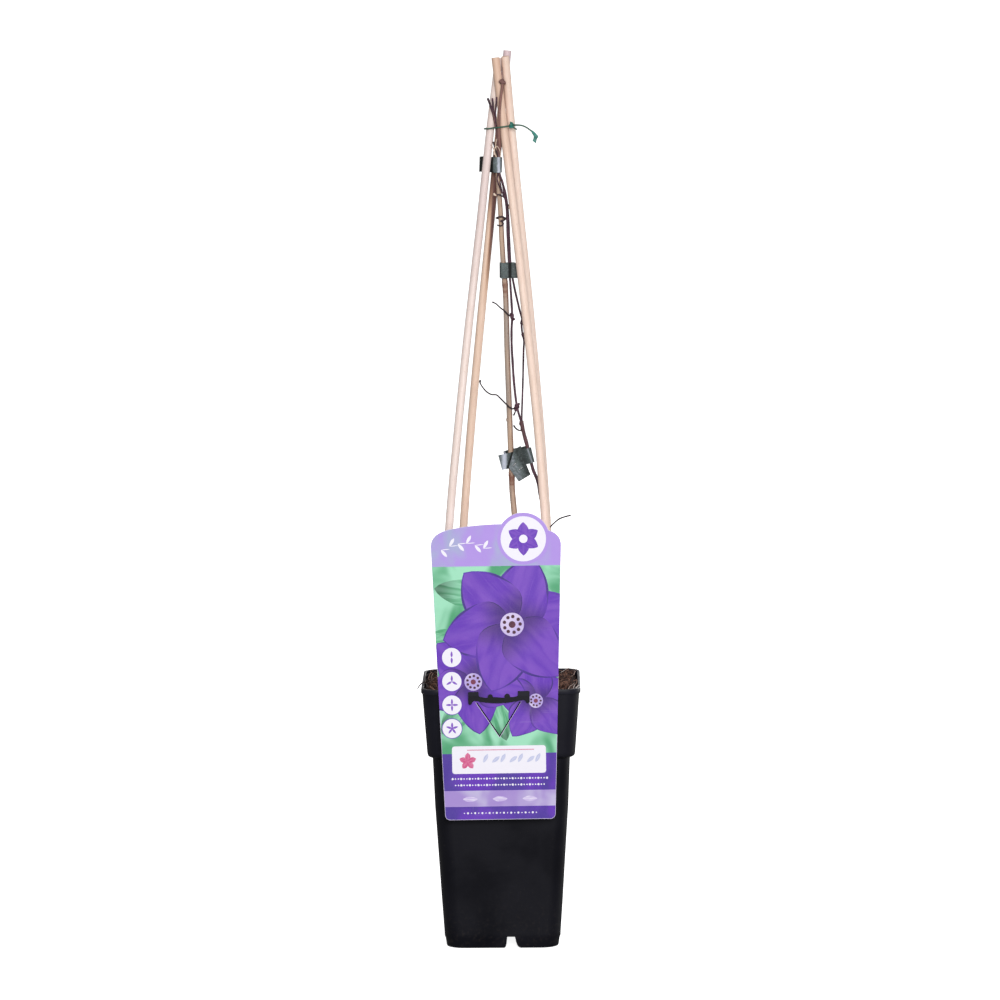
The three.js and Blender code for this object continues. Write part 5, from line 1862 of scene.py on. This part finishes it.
CAMERA_REACH = 4.3
CAMERA_HEIGHT = 0.803
CAMERA_AROUND = math.radians(0.5)
CAMERA_DOWN = math.radians(5.871)
CAMERA_ROLL = math.radians(-0.4)
FLOOR_HALF = 60
FLOOR_CELLS = 24
FLOOR_DROP = 0.0002
MIDDLE_OF_PLANT = (0, 0, 0.38)
SIDE_OF_POT = (0.06, 0, 0.1)


def white_floor(settings):
    """Pale floor with a faint mottle. The camera sees it lit from below, the object doesn't."""
    material, nodes = new_material("Floor")
    mottle = use(nodes, mottle_group(), Place=nodes.place(), Scale=3.0)
    shade = tuple(channel * 0.97 for channel in settings.floor)
    base = nodes.mix(mottle["Patches"], settings.floor, shade)
    rough = nodes.roughness(mottle["Fine"], 0.6, 0.7)
    relief = {"Height": mottle["Height"], "Distance": 0.0002}
    bump = nodes.add("ShaderNodeBump", relief).outputs[0]
    lit = nodes.add("ShaderNodeBsdfPrincipled", {
        "Base Color": base, "Roughness": rough, "Normal": bump,
        "Emission Color": (1, 1, 1, 1), "Emission Strength": settings.glow})
    dim = nodes.add("ShaderNodeBsdfDiffuse", {"Color": (0.3, 0.3, 0.3, 1)})
    seen = nodes.add("ShaderNodeLightPath").outputs["Is Camera Ray"]
    both = nodes.add("ShaderNodeMixShader", {0: seen, 1: dim.outputs[0], 2: lit.outputs[0]})
    nodes.add("ShaderNodeOutputMaterial", {"Surface": both.outputs[0]})
    return material


def add_lamp(name, place, size, power, aim=MIDDLE_OF_PLANT):
    """A soft lamp of this width and height that faces a place."""
    light = bpy.data.lights.new(name, "AREA")
    light.shape = "RECTANGLE"
    light.size, light.size_y = size
    light.energy = power
    lamp = bpy.data.objects.new(name, light)
    lamp.location = place
    lamp.rotation_euler = (Vector(aim) - Vector(place)).to_track_quat("-Z", "Y").to_euler()
    bpy.context.scene.collection.objects.link(lamp)


def set_stage(settings):
    """Floor, soft studio light and the camera of the reference view."""
    scene = bpy.context.scene
    bm = bmesh.new()
    bmesh.ops.create_grid(bm, x_segments=FLOOR_CELLS, y_segments=FLOOR_CELLS, size=FLOOR_HALF)
    mesh = bpy.data.meshes.new("floor")
    bm.to_mesh(mesh)
    bm.free()
    mesh.materials.append(white_floor(settings))
    floor = bpy.data.objects.new("floor", mesh)
    floor.location.z = -FLOOR_DROP
    scene.collection.objects.link(floor)
    floor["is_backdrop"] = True

    world = bpy.data.worlds.new("Studio")
    scene.world = world
    world.use_nodes = True
    world.node_tree.nodes.clear()
    nodes = Nodes(world.node_tree)
    seen = nodes.add("ShaderNodeLightPath").outputs["Is Camera Ray"]
    strength = nodes.fit(seen, 0.0, 1.0, settings.sky, 1.1)
    sky = nodes.add("ShaderNodeBackground", {"Color": (1, 1, 1, 1), "Strength": strength})
    nodes.add("ShaderNodeOutputWorld", {"Surface": sky.outputs[0]})

    add_lamp("Key", (0.2, -3.8, 1.5), (1.1, 1.1), settings.key)
    add_lamp("Fill", (1.3, -3.1, 0.8), (0.9, 1.3), settings.fill)
    add_lamp("Strip", (1.3, 0.75, 0.15), (0.25, 0.3), settings.fill * 0.14, SIDE_OF_POT)
    add_lamp("Back", (0.9, 3.6, 1.7), (1.3, 1.3), settings.fill * 1.4)

    camera = bpy.data.cameras.new("Camera")
    camera.lens = settings.lens
    camera.sensor_width = 36
    camera.clip_end = 200
    eye = bpy.data.objects.new("Camera", camera)
    swing = Matrix.Rotation(CAMERA_AROUND, 4, "Z")
    pitch = Matrix.Rotation(math.pi / 2 - CAMERA_DOWN, 4, "X")
    place = swing @ Vector((0, -CAMERA_REACH, CAMERA_HEIGHT))
    eye.matrix_world = (
        Matrix.Translation(place) @ swing @ pitch @ Matrix.Rotation(CAMERA_ROLL, 4, "Z"))
    scene.collection.objects.link(eye)
    scene.camera = eye
    scene.view_settings.view_transform = "Standard"


# Operators and panel

class CLEMATIS_OT_pot(bpy.types.Operator):
    """Mould the square pot"""
    bl_idname = "clematis.pot"
    bl_label = "Pot"
    bl_options = {"REGISTER", "UNDO"}

    def execute(self, context):
        make_pot(context.scene.clematis_pot)
        return {"FINISHED"}


class CLEMATIS_OT_soil(bpy.types.Operator):
    """Fill the pot with compost and lay coir on it"""
    bl_idname = "clematis.soil"
    bl_label = "Soil"
    bl_options = {"REGISTER", "UNDO"}

    def execute(self, context):
        make_soil(context.scene.clematis_soil)
        make_fibres(context.scene.clematis_soil)
        return {"FINISHED"}


class CLEMATIS_OT_canes(bpy.types.Operator):
    """Stand the four canes in the soil"""
    bl_idname = "clematis.canes"
    bl_label = "Canes"
    bl_options = {"REGISTER", "UNDO"}

    def execute(self, context):
        for seed, node in enumerate(CANES, 1):
            make_cane(node, context.scene.clematis_canes, seed)
        return {"FINISHED"}


class CLEMATIS_OT_stake(bpy.types.Operator):
    """Stand the bamboo stake in the soil"""
    bl_idname = "clematis.stake"
    bl_label = "Stake"
    bl_options = {"REGISTER", "UNDO"}

    def execute(self, context):
        make_stake(context.scene.clematis_stake)
        return {"FINISHED"}


class CLEMATIS_OT_vine(bpy.types.Operator):
    """Grow the bare stems"""
    bl_idname = "clematis.vine"
    bl_label = "Clematis"
    bl_options = {"REGISTER", "UNDO"}

    def execute(self, context):
        make_vine(context.scene.clematis_vine)
        return {"FINISHED"}


class CLEMATIS_OT_ties(bpy.types.Operator):
    """Tie the stems with tape and the canes with coated wire"""
    bl_idname = "clematis.ties"
    bl_label = "Ties"
    bl_options = {"REGISTER", "UNDO"}

    def execute(self, context):
        make_tape_ties(context.scene.clematis_ties)
        make_twist_tie(context.scene.clematis_ties)
        return {"FINISHED"}


class CLEMATIS_OT_label(bpy.types.Operator):
    """Print the card and clip it to the rim"""
    bl_idname = "clematis.label"
    bl_label = "Label and clip"
    bl_options = {"REGISTER", "UNDO"}

    def execute(self, context):
        make_label(context.scene.clematis_label)
        make_clip(context.scene.clematis_label, context.scene.clematis_pot)
        return {"FINISHED"}


class CLEMATIS_OT_stage(bpy.types.Operator):
    """Lay the floor, light it and aim the camera"""
    bl_idname = "clematis.stage"
    bl_label = "Stage"
    bl_options = {"REGISTER", "UNDO"}

    def execute(self, context):
        set_stage(context.scene.clematis_stage)
        return {"FINISHED"}


class CLEMATIS_PT_pieces(bpy.types.Panel):
    """Every piece of the potted clematis"""
    bl_idname = "CLEMATIS_PT_pieces"
    bl_label = "Potted clematis"
    bl_space_type = "VIEW_3D"
    bl_region_type = "UI"
    bl_category = "Clematis"

    def draw(self, context):
        for name, group in SETTINGS.items():
            box = self.layout.box()
            box.label(text=group.__doc__)
            for key in group.__annotations__:
                box.prop(getattr(context.scene, name), key)
        for operator in OPERATORS:
            self.layout.operator(operator.bl_idname)


SETTINGS = {
    "clematis_pot": PotSettings,
    "clematis_soil": SoilSettings,
    "clematis_canes": CaneSettings,
    "clematis_stake": StakeSettings,
    "clematis_vine": VineSettings,
    "clematis_ties": TieSettings,
    "clematis_label": LabelSettings,
    "clematis_stage": StageSettings,
}
OPERATORS = [
    CLEMATIS_OT_pot, CLEMATIS_OT_soil, CLEMATIS_OT_canes, CLEMATIS_OT_stake, CLEMATIS_OT_vine,
    CLEMATIS_OT_ties, CLEMATIS_OT_label, CLEMATIS_OT_stage,
]


def register():
    """Make the settings, the operators and the panel known."""
    for kind in (*SETTINGS.values(), *OPERATORS, CLEMATIS_PT_pieces):
        bpy.utils.register_class(kind)
    for name, group in SETTINGS.items():
        setattr(bpy.types.Scene, name, PointerProperty(type=group))


def unregister():
    """Take them away again."""
    for name in SETTINGS:
        delattr(bpy.types.Scene, name)
    for kind in (CLEMATIS_PT_pieces, *reversed(OPERATORS), *SETTINGS.values()):
        bpy.utils.unregister_class(kind)


def main():
    """Build every piece in order, and take the sizes before and after."""
    register()
    for operator in OPERATORS:
        getattr(bpy.ops.clematis, operator.bl_idname.split(".")[1])()
    boxes = {"plain": PLAIN_BOX, "dressed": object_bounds()}
    {name: [list(corner) for corner in box] for name, box in boxes.items()}


if __name__ == "__main__":
    main()
